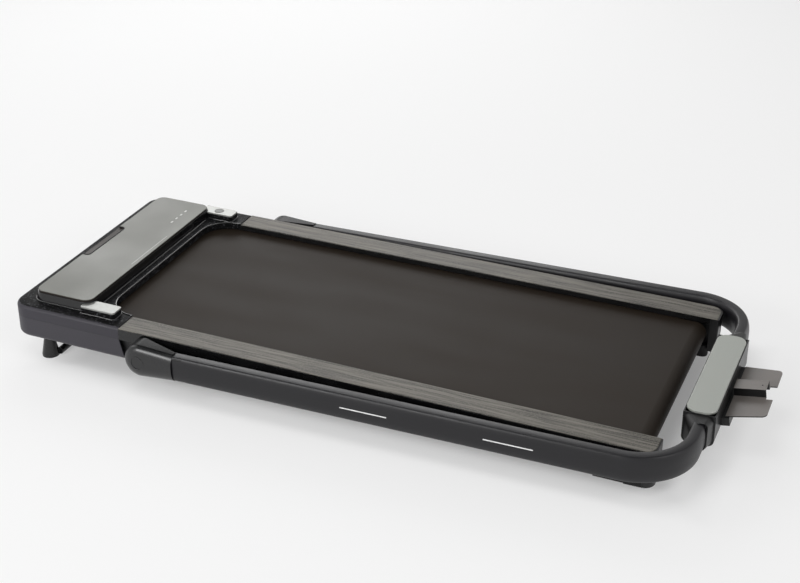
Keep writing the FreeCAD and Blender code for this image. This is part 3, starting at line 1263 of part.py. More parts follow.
def base_nodes():
    """Pieces drawn in the base frame."""
    rail = foot_rail()
    end_cap = rear_end_cap()
    wheel = transport_wheel()
    return {
        "frame_side_members": frame_side_members(),
        "frame_cross_members": frame_cross_members(),
        "running_deck": running_deck(),
        "deck_cushions": deck_cushions(),
        "running_belt": running_belt(),
        "drive_roller": roller(DRIVE_ROLLER_X),
        "roller_axles": group([roller_axle(DRIVE_ROLLER_X), rear_roller_axle()]),
        "drive_roller_bearings": roller_bearings(DRIVE_ROLLER_X),
        "drive_roller_pulley": drive_roller_pulley(),
        "rear_roller": roller(REAR_ROLLER_X),
        "rear_roller_bearings": roller_bearings(REAR_ROLLER_X),
        "belt_tension_screws": belt_tension_screws(),
        "foot_rail_left": mirrored(rail),
        "foot_rail_right": rail,
        "foot_rail_strips": pair(foot_rail_strip()),
        "rear_end_cap_left": mirrored(end_cap),
        "rear_end_cap_right": end_cap,
        "motor_housing": motor_housing(),
        "hood_cover": hood_cover(),
        "hood_screws": hood_screws(),
        "display_bezel": display_bezel(),
        "display_panel": display_panel(),
        "indicator_lenses": indicator_lenses(),
        "indicator_board": indicator_board(),
        "shoulder_cap_left": mirrored(shoulder_cap()),
        "shoulder_cap_right": shoulder_cap_with_button(),
        "power_button": power_button(),
        "drive_motor": drive_motor(),
        "motor_rotor": motor_rotor(),
        "drive_belt": drive_belt(),
        "motor_mount": motor_mount(),
        "motor_controller": motor_controller(),
        "power_inlet": power_inlet(),
        "power_switch_frame": power_switch_frame(),
        "power_switch_rocker": power_switch_rocker(),
        "transport_wheel_left": mirrored(wheel),
        "transport_wheel_right": wheel,
        "wheel_brackets": wheel_brackets(),
    }


def floor_nodes():
    """Pieces drawn in the floor frame: what stands on the floor, and the handlebar."""
    post = handlebar_post()
    cover = pivot_cover()
    return {
        "front_feet": front_feet(),
        "rear_feet": rear_feet(),
        "hinge_brackets": hinge_brackets(),
        "pivot_pins": pivot_pins(),
        "pivot_bushes": pivot_bushes(),
        "hinge_blocks": hinge_blocks(),
        "pivot_cover_left": mirrored(cover),
        "pivot_cover_right": cover,
        "handlebar_rests": handlebar_rests(),
        "handlebar_post_left": mirrored(post),
        "handlebar_post_right": post,
        "console_crossbar": console_crossbar(),
        "console_housing": console_housing(),
        "console_back_plate": console_back_plate(),
        "console_collars": console_collars(),
        "console_display": console_display(),
        "console_button_minus": console_button(MINUS_Y),
        "console_button_start": console_button(START_Y),
        "console_button_plus": console_button(PLUS_Y),
        "console_screws": console_screws(),
        "phone_holder": phone_holder(),
        "phone_holder_bracket": phone_holder_bracket(),
    }


def main():
    os.makedirs("parts", exist_ok=True)
    nodes = {name: set_down(shape) for name, shape in base_nodes().items()}
    nodes.update(floor_nodes())
    for name, shape in nodes.items():
        shape.exportStep(os.path.join("parts", name + ".step"))


main()
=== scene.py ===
"""Dresses a folded walking pad: the finishes of its pieces, its fine trim, and a plain studio."""
import math

import bmesh
import bpy
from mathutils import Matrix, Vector


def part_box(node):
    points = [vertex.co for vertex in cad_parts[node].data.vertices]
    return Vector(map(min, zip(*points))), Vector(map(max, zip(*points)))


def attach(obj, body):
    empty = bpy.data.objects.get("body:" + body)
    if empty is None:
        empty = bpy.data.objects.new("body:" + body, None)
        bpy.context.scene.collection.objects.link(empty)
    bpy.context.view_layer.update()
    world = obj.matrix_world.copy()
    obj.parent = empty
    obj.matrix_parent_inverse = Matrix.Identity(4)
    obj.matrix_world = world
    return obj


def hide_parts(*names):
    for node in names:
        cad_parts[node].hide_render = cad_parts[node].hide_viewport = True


bl_info = {
    "name": "Walking pad looks",
    "version": (1, 0, 0),
    "blender": (4, 5, 0),
    "location": "View3D > Sidebar > Walking pad",
    "description": "Finishes, trim and studio for a folded walking pad",
    "category": "Object",
}

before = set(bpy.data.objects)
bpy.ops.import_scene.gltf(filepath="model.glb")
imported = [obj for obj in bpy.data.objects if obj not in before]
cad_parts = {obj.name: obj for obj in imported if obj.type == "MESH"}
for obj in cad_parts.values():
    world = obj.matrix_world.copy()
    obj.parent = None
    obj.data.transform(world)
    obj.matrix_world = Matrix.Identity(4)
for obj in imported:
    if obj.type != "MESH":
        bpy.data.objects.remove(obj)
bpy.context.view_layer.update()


# Colours are written as they look on a screen, 0 to 255
def tone(red, green, blue):
    """Linear colour of a screen colour."""
    return tuple(((value / 255 + 0.055) / 1.055) ** 2.4 if value > 10 else value / 255 / 12.92
                 for value in (red, green, blue))


def colour_property(name, description, red, green, blue):
    return bpy.props.FloatVectorProperty(
        name=name, description=description, subtype="COLOR", size=3, min=0, max=1,
        default=tone(red, green, blue))


def length_property(name, description, millimetres):
    return bpy.props.FloatProperty(
        name=name, description=description, subtype="DISTANCE", unit="LENGTH", precision=4, min=0,
        default=millimetres / 1000)


class WalkingPadColours(bpy.types.PropertyGroup):
    """Colours of the finishes."""
    hood: colour_property("Hood", "Satin sides of the hood and the housing", 47, 45, 52)
    grain: colour_property("Grained top", "Grained black of the hood's shoulders", 14, 14, 15)
    bezel: colour_property("Bezel", "Smooth black skirt round the panel", 12, 12, 13)
    panel: colour_property("Panel", "Grey film of the panel", 90, 91, 85)
    recess: colour_property("Recess", "Floor of the grip recess in the panel", 50, 45, 42)
    cap: colour_property("Caps", "Silver paint of the shoulder caps", 150, 151, 148)
    strip: colour_property("Strips", "Brushed strips on the foot rails", 97, 94, 88)
    belt: colour_property("Belt", "Running belt", 35, 28, 21)
    tube: colour_property("Tube", "Powder coat of the handlebar", 16, 15, 19)
    cover: colour_property("Pivot covers", "Moulded covers of the pivots", 17, 17, 19)
    plate: colour_property("Console plate", "Light grey back plate of the console", 168, 171, 165)
    sheet: colour_property("Phone holder", "Painted sheet of the phone holder", 108, 103, 99)
    black: colour_property("Black plastic", "Rails, console housing and ports", 13, 13, 14)
    mark: colour_property("Marks", "White print on the tube and the keys", 232, 232, 232)
    floor: colour_property("Floor", "Studio floor", 240, 240, 240)


class WalkingPadSizes(bpy.types.PropertyGroup):
    """Sizes of the modelled pieces and of the studio."""
    lift: length_property("Base lift", "Height of the base's underside at the middle", 33)
    incline: bpy.props.FloatProperty(
        name="Incline", description="Rise of the base towards its front", subtype="ANGLE", unit="ROTATION",
        default=math.radians(1.1))
    seam: length_property("Seam", "Height of the seam between hood and housing", 43)
    shoulder: length_property("Shoulder", "Height of the hood's shoulders", 68)
    hood_rear: length_property("Hood rear", "Rear of the hood, ahead of the middle", 468.75)
    mouth_reach: length_property("Mouth reach", "Depth of the belt mouth in the hood", 62.5)
    mouth_half: length_property("Mouth half width", "Half the width of the belt mouth", 218)
    mouth_corner: length_property("Mouth corner", "Corner radius of the belt mouth", 58)
    bead: length_property("Bead", "Radius of the beads on the hood", 1.7)
    bezel_front: length_property("Bezel front", "Front of the bezel's foot, ahead of the middle", 681.75)
    bezel_rear: length_property("Bezel rear", "Rear of the bezel's foot, ahead of the middle", 546.75)
    bezel_half: length_property("Bezel half width", "Half the width of the bezel's foot", 240)
    bezel_corner: length_property("Bezel corner", "Corner radius of the bezel's foot", 23.5)
    plinth_front: length_property("Plinth front", "Front of the cap plinths, ahead of the middle", 565.75)
    plinth_length: length_property("Plinth length", "Length of the cap plinths", 75)
    plinth_width: length_property("Plinth width", "Width of the cap plinths", 31)
    plinth_side: length_property("Plinth place", "Middle of the cap plinths from the pad's middle", 232.5)
    plinth_corner: length_property("Plinth corner", "Corner radius of the cap plinths", 5)
    panel_top: length_property("Panel top", "Height of the panel", 88.4)
    panel_front: length_property("Panel front", "Front of the panel, ahead of the middle", 676.25)
    recess_reach: length_property("Recess reach", "Depth of the recess from the panel's front", 15)
    recess_half: length_property("Recess half width", "Half the width of the recess", 68.5)
    recess_corner: length_property("Recess corner", "Corner radius of the recess", 7)
    line: length_property("Line", "Radius of the line round the recess", 1.2)
    hatch_from_middle: length_property("Hatch line place", "Line near the panel's rear, from the middle", 561)
    hatch_length: length_property("Hatch line length", "Length of the line near the panel's rear", 138)
    hatch_width: length_property("Hatch line width", "Width of the line near the panel's rear", 1.4)
    tube_width: length_property("Tube width", "Width of the handlebar tube", 27)
    tube_bend: length_property("Tube bend", "Radius of the tube's bend at its middle line", 100)
    tube_round_width: length_property("Tube rounding, width", "Width of the tube's oval corners", 6.5)
    tube_round_height: length_property("Tube rounding, height", "Height of the tube's oval corners", 22)
    cover_rear_height: length_property("Cover rear height", "Height of a pivot cover at its rear", 55)
    cover_thickness: length_property("Cover thickness", "Pivot cover from its inner to its outer side", 39.5)
    cover_round_in: length_property("Cover rounding, across", "Width of the oval rounding of a cover", 24)
    cover_round_out: length_property("Cover rounding, out", "Depth of the oval rounding of a cover", 14)
    cover_lip: length_property("Cover lip", "Width of the lip at a pivot cover's rear", 1)
    cover_lip_depth: length_property("Cover lip depth", "Depth of the groove within that lip", 2)
    cover_bevel: length_property("Cover bevel", "Bevel on a pivot cover's inner top at its rear", 18)
    cover_ring: length_property("Cover ring", "Radius of the ring on a pivot cover's outer side", 13)
    cover_ring_line: length_property("Cover ring line", "Radius of the line that forms that ring", 0.8)
    cover_wall: length_property("Cover wall", "Wall round the hollow of a pivot cover", 3)
    cover_hollow: length_property("Cover hollow", "Depth of the wide part of a pivot cover's hollow", 28)
    cover_pin_wall: length_property("Cover pin step", "Step in to the hollow round the pin", 14)
    cover_pin_hollow: length_property("Cover pin hollow", "Depth of the narrow part of the hollow", 9)
    stripe_length: length_property("Stripe length", "Length of a stripe on the near tube", 89.5)
    stripe_height: length_property("Stripe height", "Height of a stripe on the near tube", 2.3)
    stripe_film: length_property("Stripe film", "Thickness of printed marks", 0.3)
    stripe_first: length_property("First stripe", "Start of the first stripe, behind the middle", 10)
    stripe_second: length_property("Second stripe", "Start of the second stripe, behind the middle", 278)
    floor_side: bpy.props.FloatProperty(
        name="Floor", description="Side of the studio floor", subtype="DISTANCE", unit="LENGTH", default=14.0)
    floor_shift: length_property("Floor shift", "Middle of the floor behind the middle of the pad", 2000)
    lens: bpy.props.FloatProperty(
        name="Lens", description="Focal length of the camera in mm", subtype="NONE", default=66.73)


def colours():
    return bpy.context.scene.walking_pad_colours


def sizes():
    return bpy.context.scene.walking_pad_sizes


# Node trees of the finishes
class Finish:
    """A procedural material in the making, with the nodes that the finishes share."""

    def __init__(self, name, colour, roughness, metallic=0.0):
        self.material = bpy.data.materials.new(name)
        self.material.use_nodes = True
        self.material.diffuse_color = (*colour, 1)
        self.nodes = self.material.node_tree.nodes
        self.links = self.material.node_tree.links
        self.shader = self.nodes["Principled BSDF"]
        self.shader.inputs["Base Color"].default_value = (*colour, 1)
        self.shader.inputs["Roughness"].default_value = roughness
        self.shader.inputs["Metallic"].default_value = metallic
        self.colour = colour
        self.roughness = roughness
        self.place = self.nodes.new("ShaderNodeTexCoord")

    def set(self, socket, value):
        self.shader.inputs[socket].default_value = value

    def stretched(self, stretch):
        """Object coordinates, drawn out along an axis where its number is small."""
        mapping = self.nodes.new("ShaderNodeMapping")
        mapping.inputs["Scale"].default_value = stretch
        self.links.new(self.place.outputs["Object"], mapping.inputs["Vector"])
        return mapping.outputs["Vector"]

    def noise(self, size, detail=2.0, stretch=(1, 1, 1)):
        """Cloudy pattern whose lumps are about that size in metres."""
        texture = self.nodes.new("ShaderNodeTexNoise")
        texture.inputs["Scale"].default_value = 1 / size
        texture.inputs["Detail"].default_value = detail
        self.links.new(self.stretched(stretch), texture.inputs["Vector"])
        return texture.outputs["Fac"]

    def cells(self, size, stretch=(1, 1, 1)):
        """Pebbled pattern: distance to the nearest cell's middle."""
        texture = self.nodes.new("ShaderNodeTexVoronoi")
        texture.inputs["Scale"].default_value = 1 / size
        self.links.new(self.stretched(stretch), texture.inputs["Vector"])
        return texture.outputs["Distance"]

    def waves(self, size, direction):
        """Even ribs across the named axis."""
        texture = self.nodes.new("ShaderNodeTexWave")
        texture.bands_direction = direction
        texture.inputs["Scale"].default_value = math.pi / 10 / size
        texture.inputs["Distortion"].default_value = 0.6
        texture.inputs["Detail"].default_value = 1.0
        self.links.new(self.place.outputs["Object"], texture.inputs["Vector"])
        return texture.outputs["Fac"]

    def spread(self, value, low, high, to_low=0.0, to_high=1.0):
        """Stretches part of a pattern's range over another range."""
        node = self.nodes.new("ShaderNodeMapRange")
        node.inputs["From Min"].default_value = low
        node.inputs["From Max"].default_value = high
        node.inputs["To Min"].default_value = to_low
        node.inputs["To Max"].default_value = to_high
        self.links.new(value, node.inputs["Value"])
        return node.outputs["Result"]

    def sum(self, first, second, share):
        """First pattern plus a share of the second."""
        node = self.nodes.new("ShaderNodeMath")
        node.operation = "MULTIPLY_ADD"
        node.inputs[1].default_value = share
        self.links.new(second, node.inputs[0])
        self.links.new(first, node.inputs[2])
        return node.outputs["Value"]

    def times(self, first, second):
        node = self.nodes.new("ShaderNodeMath")
        node.operation = "MULTIPLY"
        self.links.new(first, node.inputs[0])
        self.links.new(second, node.inputs[1])
        return node.outputs["Value"]

    def mix(self, factor, low, high):
        """Colour between two colours or two colour outputs."""
        node = self.nodes.new("ShaderNodeMix")
        node.data_type = "RGBA"
        self.links.new(factor, node.inputs["Factor"])
        for socket, value in ((node.inputs[6], low), (node.inputs[7], high)):
            if isinstance(value, bpy.types.NodeSocket):
                self.links.new(value, socket)
            else:
                socket.default_value = (*value, 1)
        return node.outputs[2]

    def part_of_base(self, axis):
        """One coordinate in the level frame of the base, before it is tipped up."""
        mapping = self.nodes.new("ShaderNodeMapping")
        mapping.vector_type = "TEXTURE"
        mapping.inputs["Location"].default_value = (0, 0, sizes().lift)
        mapping.inputs["Rotation"].default_value = (0, sizes().incline, 0)
        self.links.new(self.place.outputs["Object"], mapping.inputs["Vector"])
        node = self.nodes.new("ShaderNodeSeparateXYZ")
        self.links.new(mapping.outputs["Vector"], node.inputs["Vector"])
        return node.outputs[axis]

    def near(self, value, middle, reach):
        """One where the value is within reach of the middle, else nothing."""
        node = self.nodes.new("ShaderNodeMath")
        node.operation = "COMPARE"
        node.inputs[1].default_value = middle
        node.inputs[2].default_value = reach
        self.links.new(value, node.inputs[0])
        return node.outputs["Value"]

    def size_of(self, value):
        """The value without its sign."""
        node = self.nodes.new("ShaderNodeMath")
        node.operation = "ABSOLUTE"
        self.links.new(value, node.inputs[0])
        return node.outputs["Value"]

    def most(self, first, second):
        node = self.nodes.new("ShaderNodeMath")
        node.operation = "MAXIMUM"
        self.links.new(first, node.inputs[0])
        self.links.new(second, node.inputs[1])
        return node.outputs["Value"]

    def part_of_normal(self, axis):
        node = self.nodes.new("ShaderNodeSeparateXYZ")
        self.links.new(self.place.outputs["Normal"], node.inputs["Vector"])
        return node.outputs[axis]

    def edges(self, radius):
        """Light along the edges of the piece, dark on its faces."""
        bevel = self.nodes.new("ShaderNodeBevel")
        bevel.samples = 4
        bevel.inputs["Radius"].default_value = radius
        geometry = self.nodes.new("ShaderNodeNewGeometry")
        dot = self.nodes.new("ShaderNodeVectorMath")
        dot.operation = "DOT_PRODUCT"
        self.links.new(bevel.outputs["Normal"], dot.inputs[0])
        self.links.new(geometry.outputs["Normal"], dot.inputs[1])
        return self.spread(dot.outputs["Value"], 0.99, 0.8)

    def shade(self, colour):
        self.links.new(colour, self.shader.inputs["Base Color"])

    def shine(self, pattern, low, high):
        """Strength of the mirror part, from one value to another along a pattern from nothing to one."""
        self.links.new(self.spread(pattern, 0, 1, low, high), self.shader.inputs["Specular IOR Level"])

    def rough(self, pattern, low, high, spread=0.12):
        """Roughness that drifts round the finish's own by up to the spread."""
        smoothest = max(self.roughness - spread, 0.02)
        roughest = min(self.roughness + spread, 1)
        value = self.spread(pattern, low, high, smoothest, roughest)
        self.links.new(value, self.shader.inputs["Roughness"])

    def bump(self, height, depth, strength=1.0, soft_edge=0.0):
        """Fine relief of that depth in metres, over edges softened to a radius."""
        node = self.nodes.new("ShaderNodeBump")
        node.inputs["Strength"].default_value = strength
        node.inputs["Distance"].default_value = depth
        self.links.new(height, node.inputs["Height"])
        if soft_edge:
            bevel = self.nodes.new("ShaderNodeBevel")
            bevel.samples = 4
            bevel.inputs["Radius"].default_value = soft_edge
            self.links.new(bevel.outputs["Normal"], node.inputs["Normal"])
        self.links.new(node.outputs["Normal"], self.shader.inputs["Normal"])


def lighter(colour, factor):
    return tuple(min(value * factor, 1) for value in colour)


def satin_plastic(name, colour, roughness=0.42, edge_wear_and_highlight=1.35):
    """Moulded plastic with a fine even grain, slow drift of tone, and edges lightened as partly rubbed
    plastic and partly a painted highlight.
    """
    finish = Finish(name, colour, roughness)
    drift = finish.spread(finish.noise(0.09, 3), 0.35, 0.65)
    body = finish.mix(drift, lighter(colour, 0.93), lighter(colour, 1.07))
    # Painted highlight, partly rubbed plastic: the edges turn lighter.
    finish.shade(finish.mix(finish.edges(0.0012), body, lighter(colour, edge_wear_and_highlight)))
    grain = finish.noise(0.0006, 2)
    finish.rough(finish.sum(drift, grain, 0.5), 0.3, 1.2, 0.06)
    finish.bump(grain, 0.00004, 0.5, 0.0008)
    return finish.material


def cover_plastic(name, colour, roughness, inward):
    """Moulded plastic, dull on its top and on the side turned inward along Y, where a painted shade darkens
    its colour.
    """
    finish = Finish(name, colour, roughness)
    inner = finish.spread(finish.part_of_normal("Y"), 0.2 * inward, 0.5 * inward)
    top = finish.most(inner, finish.spread(finish.part_of_normal("Z"), 0.85, 0.95))
    drift = finish.spread(finish.noise(0.09, 3), 0.35, 0.65)
    body = finish.mix(drift, lighter(colour, 0.93), lighter(colour, 1.07))
    # Painted shade: the top and the inward side take a darker copy of the colour.
    finish.shade(finish.mix(top, body, lighter(colour, 0.45)))
    finish.shine(top, 0.6, 0.1)
    grain = finish.noise(0.0006, 2)
    finish.rough(finish.sum(drift, grain, 0.5), 0.3, 1.2, 0.05)
    finish.bump(grain, 0.00004, 0.5)
    return finish.material


def glossy_plastic(name, colour, roughness=0.2, shine=0.5):
    """Smooth moulded plastic with a faint ripple and fine wipe marks."""
    finish = Finish(name, colour, roughness)
    finish.set("Specular IOR Level", shine)
    wipe = finish.noise(0.012, 4, (0.3, 1, 1))
    ripple = finish.noise(0.05, 1)
    finish.shade(finish.mix(finish.spread(wipe, 0.3, 0.7), lighter(colour, 0.85), lighter(colour, 1.2)))
    finish.rough(wipe, 0.3, 0.7, 0.07)
    finish.bump(ripple, 0.0004, 0.3, 0.001)
    return finish.material


def hood_shell(name):
    """Upper shell of the hood: satin sides above the seam, pebbled black on top and round the belt mouth,
    with light flecks on the black that are painted glints.
    """
    finish = Finish(name, colours().hood, 0.45)
    up = finish.spread(finish.part_of_normal("Z"), 0.85, 0.97)
    mouth_front = -sizes().hood_rear - sizes().mouth_reach
    behind = finish.spread(finish.part_of_base("X"), mouth_front - 0.002, mouth_front - 0.001)
    inside = finish.near(finish.part_of_base("Y"), 0, sizes().mouth_half + 0.001)
    raised = finish.spread(finish.part_of_base("Z"), sizes().shoulder - 0.001, sizes().shoulder)
    top = finish.most(finish.most(up, finish.times(behind, inside)), raised)
    finish.shine(top, 0.4, 0.06)
    pebble = finish.cells(0.0016)
    # Painted glints: light flecks on the black top stand in for glints off the pebbling.
    fleck_and_glint = finish.spread(finish.noise(0.0032, 2), 0.58, 0.66)
    black = finish.mix(fleck_and_glint, colours().grain, lighter(colours().grain, 16))
    drift = finish.spread(finish.noise(0.09, 3), 0.35, 0.65)
    satin = finish.mix(drift, lighter(colours().hood, 0.93), lighter(colours().hood, 1.07))
    body = finish.mix(top, satin, black)
    seam = finish.near(finish.part_of_base("Z"), sizes().seam, 0.0007)
    finish.shade(finish.mix(seam, body, colours().grain))
    finish.rough(finish.sum(drift, pebble, 0.4), 0.2, 1.2, 0.08)
    grain = finish.noise(0.0006, 2)
    relief = finish.sum(grain, finish.times(pebble, top), 2.5)
    finish.bump(relief, 0.00012, 0.55, 0.0012)
    return finish.material


def panel_film(name):
    """Grey satin film with a faint metallic fleck and a slow sheen."""
    finish = Finish(name, colours().panel, 0.36, 0.15)
    cloud = finish.spread(finish.noise(0.16, 2), 0.3, 0.7)
    fleck_and_glint = finish.noise(0.0009, 2)
    base = finish.mix(cloud, lighter(colours().panel, 0.92), lighter(colours().panel, 1.08))
    film = finish.mix(finish.spread(fleck_and_glint, 0.4, 0.75), base, lighter(colours().panel, 1.25))
    top = finish.spread(finish.part_of_base("Z"), sizes().panel_top - 0.001, sizes().panel_top - 0.0004)
    finish.shade(finish.mix(top, colours().recess, film))
    finish.shine(top, 0.1, 0.42)
    finish.rough(finish.sum(cloud, fleck_and_glint, 0.5), 0.2, 1.3, 0.07)
    finish.bump(fleck_and_glint, 0.00003, 0.4, 0.0006)
    return finish.material


def metal_paint(name, colour, roughness=0.32, metallic=0.55):
    """Sprayed silver paint: tight fleck, light orange peel, edges lightened as partly worn paint and partly a
    painted highlight.
    """
    finish = Finish(name, colour, roughness, metallic)
    fleck_and_glint = finish.noise(0.0007, 2)
    peel = finish.noise(0.004, 2)
    base = finish.mix(finish.spread(fleck_and_glint, 0.35, 0.7), lighter(colour, 0.86), lighter(colour, 1.12))
    # Painted highlight, partly worn paint: the edges turn lighter.
    finish.shade(finish.mix(finish.edges(0.001), base, lighter(colour, 1.25)))
    finish.rough(finish.sum(peel, fleck_and_glint, 0.5), 0.4, 1.1, 0.06)
    finish.bump(finish.sum(fleck_and_glint, peel, 1.5), 0.00003, 0.5, 0.0008)
    return finish.material


def brushed_strip(name):
    """Embossed strip with grain along the rail, dark furrows and rubbed crests."""
    finish = Finish(name, colours().strip, 0.46, 0.2)
    fine = finish.noise(0.003, 3, (0.03, 1, 1))
    coarse = finish.noise(0.008, 4, (0.05, 1, 1))
    furrow = finish.sum(fine, coarse, 0.8)
    crest = finish.spread(furrow, 0.7, 1.1)
    streak = finish.mix(crest, lighter(colours().strip, 0.35), lighter(colours().strip, 1.6))
    grit = finish.spread(finish.noise(0.002, 2), 0.5, 0.75)
    finish.shade(finish.mix(grit, streak, lighter(colours().strip, 1.5)))
    patch = finish.spread(finish.noise(0.12, 3, (0.4, 1, 1)), 0.35, 0.65)
    finish.links.new(finish.spread(patch, 0, 1, 0, 0.12), finish.shader.inputs["Metallic"])
    finish.set("Specular IOR Level", 0.2)
    finish.rough(furrow, 0.6, 1.2, 0.1)
    finish.bump(furrow, 0.0002, 0.55, 0.0005)
    return finish.material


def woven_belt(name):
    """Matte belt: a fine printed weave, scuffs along the walking direction."""
    finish = Finish(name, colours().belt, 0.62)
    finish.set("Specular IOR Level", 0.2)
    along = finish.waves(0.0018, "X")
    across = finish.waves(0.0018, "Y")
    weave = finish.times(along, across)
    scuff = finish.spread(finish.noise(0.08, 4, (0.25, 1, 1)), 0.35, 0.7)
    base = finish.mix(scuff, lighter(colours().belt, 0.9), lighter(colours().belt, 1.14))
    finish.shade(finish.mix(finish.spread(weave, 0.2, 0.9), base, lighter(colours().belt, 1.25)))
    finish.rough(finish.sum(weave, scuff, 0.6), 0.1, 1.3, 0.07)
    finish.bump(weave, 0.00012, 0.5)
    return finish.material


def powder_coat(name, colour, roughness=0.4, painted_shade_walls=None):
    """Baked powder coat: orange peel, slow drift, corners lightened as partly worn paint and partly a painted
    highlight, and upright faces in a second colour as a painted shade if given.
    """
    finish = Finish(name, colour, roughness)
    peel = finish.noise(0.0022, 2)
    drift = finish.spread(finish.noise(0.12, 3), 0.35, 0.65)
    base = finish.mix(drift, lighter(colour, 0.92), lighter(colour, 1.1))
    # Painted highlight, partly worn paint: the corners turn lighter.
    coat = finish.mix(finish.edges(0.0012), base, lighter(colour, 1.3))
    finish.set("Specular IOR Level", 0.45)
    if painted_shade_walls:
        # Painted shade: the upright faces take the given dark colour.
        coat = finish.mix(finish.near(finish.part_of_normal("Z"), 0, 0.5), coat, painted_shade_walls)
    finish.shade(coat)
    finish.rough(finish.sum(peel, drift, 0.5), 0.4, 1.1, 0.06)
    finish.bump(peel, 0.00008, 0.4, 0.0006)
    return finish.material


def rubber(name, colour, roughness=0.75):
    """Dull rubber with a chalky bloom."""
    finish = Finish(name, colour, roughness)
    bloom = finish.spread(finish.noise(0.02, 5), 0.35, 0.7)
    pore = finish.noise(0.0012, 3)
    finish.shade(finish.mix(bloom, lighter(colour, 0.85), lighter(colour, 1.5)))
    finish.rough(finish.sum(bloom, pore, 0.5), 0.2, 1.3, 0.1)
    finish.bump(pore, 0.0001, 0.5, 0.0006)
    return finish.material


def bare_metal(name, colour, roughness=0.3, stretch=(1, 1, 1)):
    """Turned or drawn metal: tool marks, faint stains, edges lightened as partly worn metal and partly a
    painted highlight.
    """
    finish = Finish(name, colour, roughness, 1.0)
    mark = finish.noise(0.0015, 3, stretch)
    stain = finish.spread(finish.noise(0.03, 4), 0.4, 0.7)
    base = finish.mix(stain, colour, lighter(colour, 0.72))
    # Painted highlight, partly worn metal: the edges turn lighter.
    finish.shade(finish.mix(finish.edges(0.0008), base, lighter(colour, 1.2)))
    finish.rough(finish.sum(mark, stain, 0.6), 0.3, 1.2, 0.12)
    finish.bump(mark, 0.00005, 0.4, 0.0004)
    return finish.material


def pressed_board(name, colour):
    """Deck board: pressed fibre with a slick printed face."""
    finish = Finish(name, colour, 0.5)
    fibre = finish.noise(0.004, 5, (0.2, 1, 1))
    finish.shade(finish.mix(finish.spread(fibre, 0.3, 0.7), lighter(colour, 0.75), lighter(colour, 1.2)))
    finish.rough(fibre, 0.3, 0.7, 0.1)
    finish.bump(fibre, 0.0001, 0.4)
    return finish.material


def circuit_board(name):
    """Green board with paler tracks."""
    base = tone(24, 82, 48)
    finish = Finish(name, base, 0.4)
    track = finish.spread(finish.cells(0.004), 0.3, 0.36)
    finish.shade(finish.mix(track, base, tone(52, 120, 74)))
    finish.rough(track, 0, 1, 0.08)
    finish.bump(track, 0.00004, 0.5)
    return finish.material


def lit_lens(name):
    """White diffuser of an indicator, faintly clouded."""
    base = tone(196, 197, 193)
    finish = Finish(name, base, 0.35)
    cloud = finish.noise(0.002, 2)
    finish.shade(finish.mix(finish.spread(cloud, 0.3, 0.7), lighter(base, 0.92), base))
    finish.rough(cloud, 0.3, 0.7, 0.05)
    finish.bump(cloud, 0.00003, 0.3)
    return finish.material


def smoked_window(name):
    """Dark glossy display window with faint dust."""
    base = tone(9, 10, 12)
    finish = Finish(name, base, 0.08)
    dust = finish.spread(finish.noise(0.0015, 4), 0.6, 0.8)
    finish.shade(finish.mix(dust, base, tone(30, 31, 33)))
    finish.rough(dust, 0, 1, 0.06)
    finish.bump(finish.noise(0.04, 1), 0.0002, 0.2)
    return finish.material


# Laying finishes on the pieces
def dress(material, *nodes):
    for node in nodes:
        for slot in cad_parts[node].material_slots:
            slot.material = material


class WALKINGPAD_OT_hood(bpy.types.Operator):
    """Finish the motor hood, its bezel, panel, caps and button"""
    bl_idname = "walking_pad.hood"
    bl_label = "Motor hood"

    def execute(self, context):
        dress(hood_shell("hood_grained_shell"), "hood_cover")
        dress(satin_plastic("housing_satin", colours().hood), "motor_housing")
        dress(glossy_plastic("bezel_gloss_black", colours().bezel, 0.12), "display_bezel")
        dress(panel_film("panel_grey_film"), "display_panel")
        dress(metal_paint("cap_silver_paint", colours().cap), "shoulder_cap_left", "shoulder_cap_right")
        dress(metal_paint("button_silver_paint", lighter(colours().cap, 0.4), 0.4, 0.3), "power_button")
        dress(lit_lens("indicator_milky_lens"), "indicator_lenses")
        dress(circuit_board("indicator_board_green"), "indicator_board")
        dress(satin_plastic("port_black", colours().black, 0.38), "power_inlet", "power_switch_frame")
        dress(glossy_plastic("rocker_black", colours().bezel, 0.28), "power_switch_rocker")
        return {"FINISHED"}


class WALKINGPAD_OT_rails(bpy.types.Operator):
    """Finish the foot rails, their strips and their end caps"""
    bl_idname = "walking_pad.rails"
    bl_label = "Foot rails"

    def execute(self, context):
        dress(glossy_plastic("rail_gloss_black", colours().black, 0.26), "foot_rail_left", "foot_rail_right")
        dress(brushed_strip("rail_brushed_strip"), "foot_rail_strips")
        dress(satin_plastic("end_cap_black", colours().black, 0.34), "rear_end_cap_left",
              "rear_end_cap_right")
        return {"FINISHED"}


class WALKINGPAD_OT_belt(bpy.types.Operator):
    """Finish the running belt, its deck and its rollers"""
    bl_idname = "walking_pad.belt"
    bl_label = "Running belt"

    def execute(self, context):
        dress(woven_belt("belt_fine_weave"), "running_belt")
        dress(pressed_board("deck_pressed_board", tone(96, 78, 58)), "running_deck")
        dress(rubber("cushion_rubber", tone(34, 34, 36)), "deck_cushions")
        dress(bare_metal("roller_turned_steel", tone(176, 176, 174), 0.32), "drive_roller", "rear_roller")
        dress(bare_metal("axle_steel", tone(150, 150, 150), 0.3), "roller_axles")
        dress(bare_metal("bearing_steel", tone(188, 188, 190), 0.22), "drive_roller_bearings",
              "rear_roller_bearings")
        dress(rubber("drive_belt_rubber", tone(28, 28, 29), 0.6), "drive_belt")
        return {"FINISHED"}


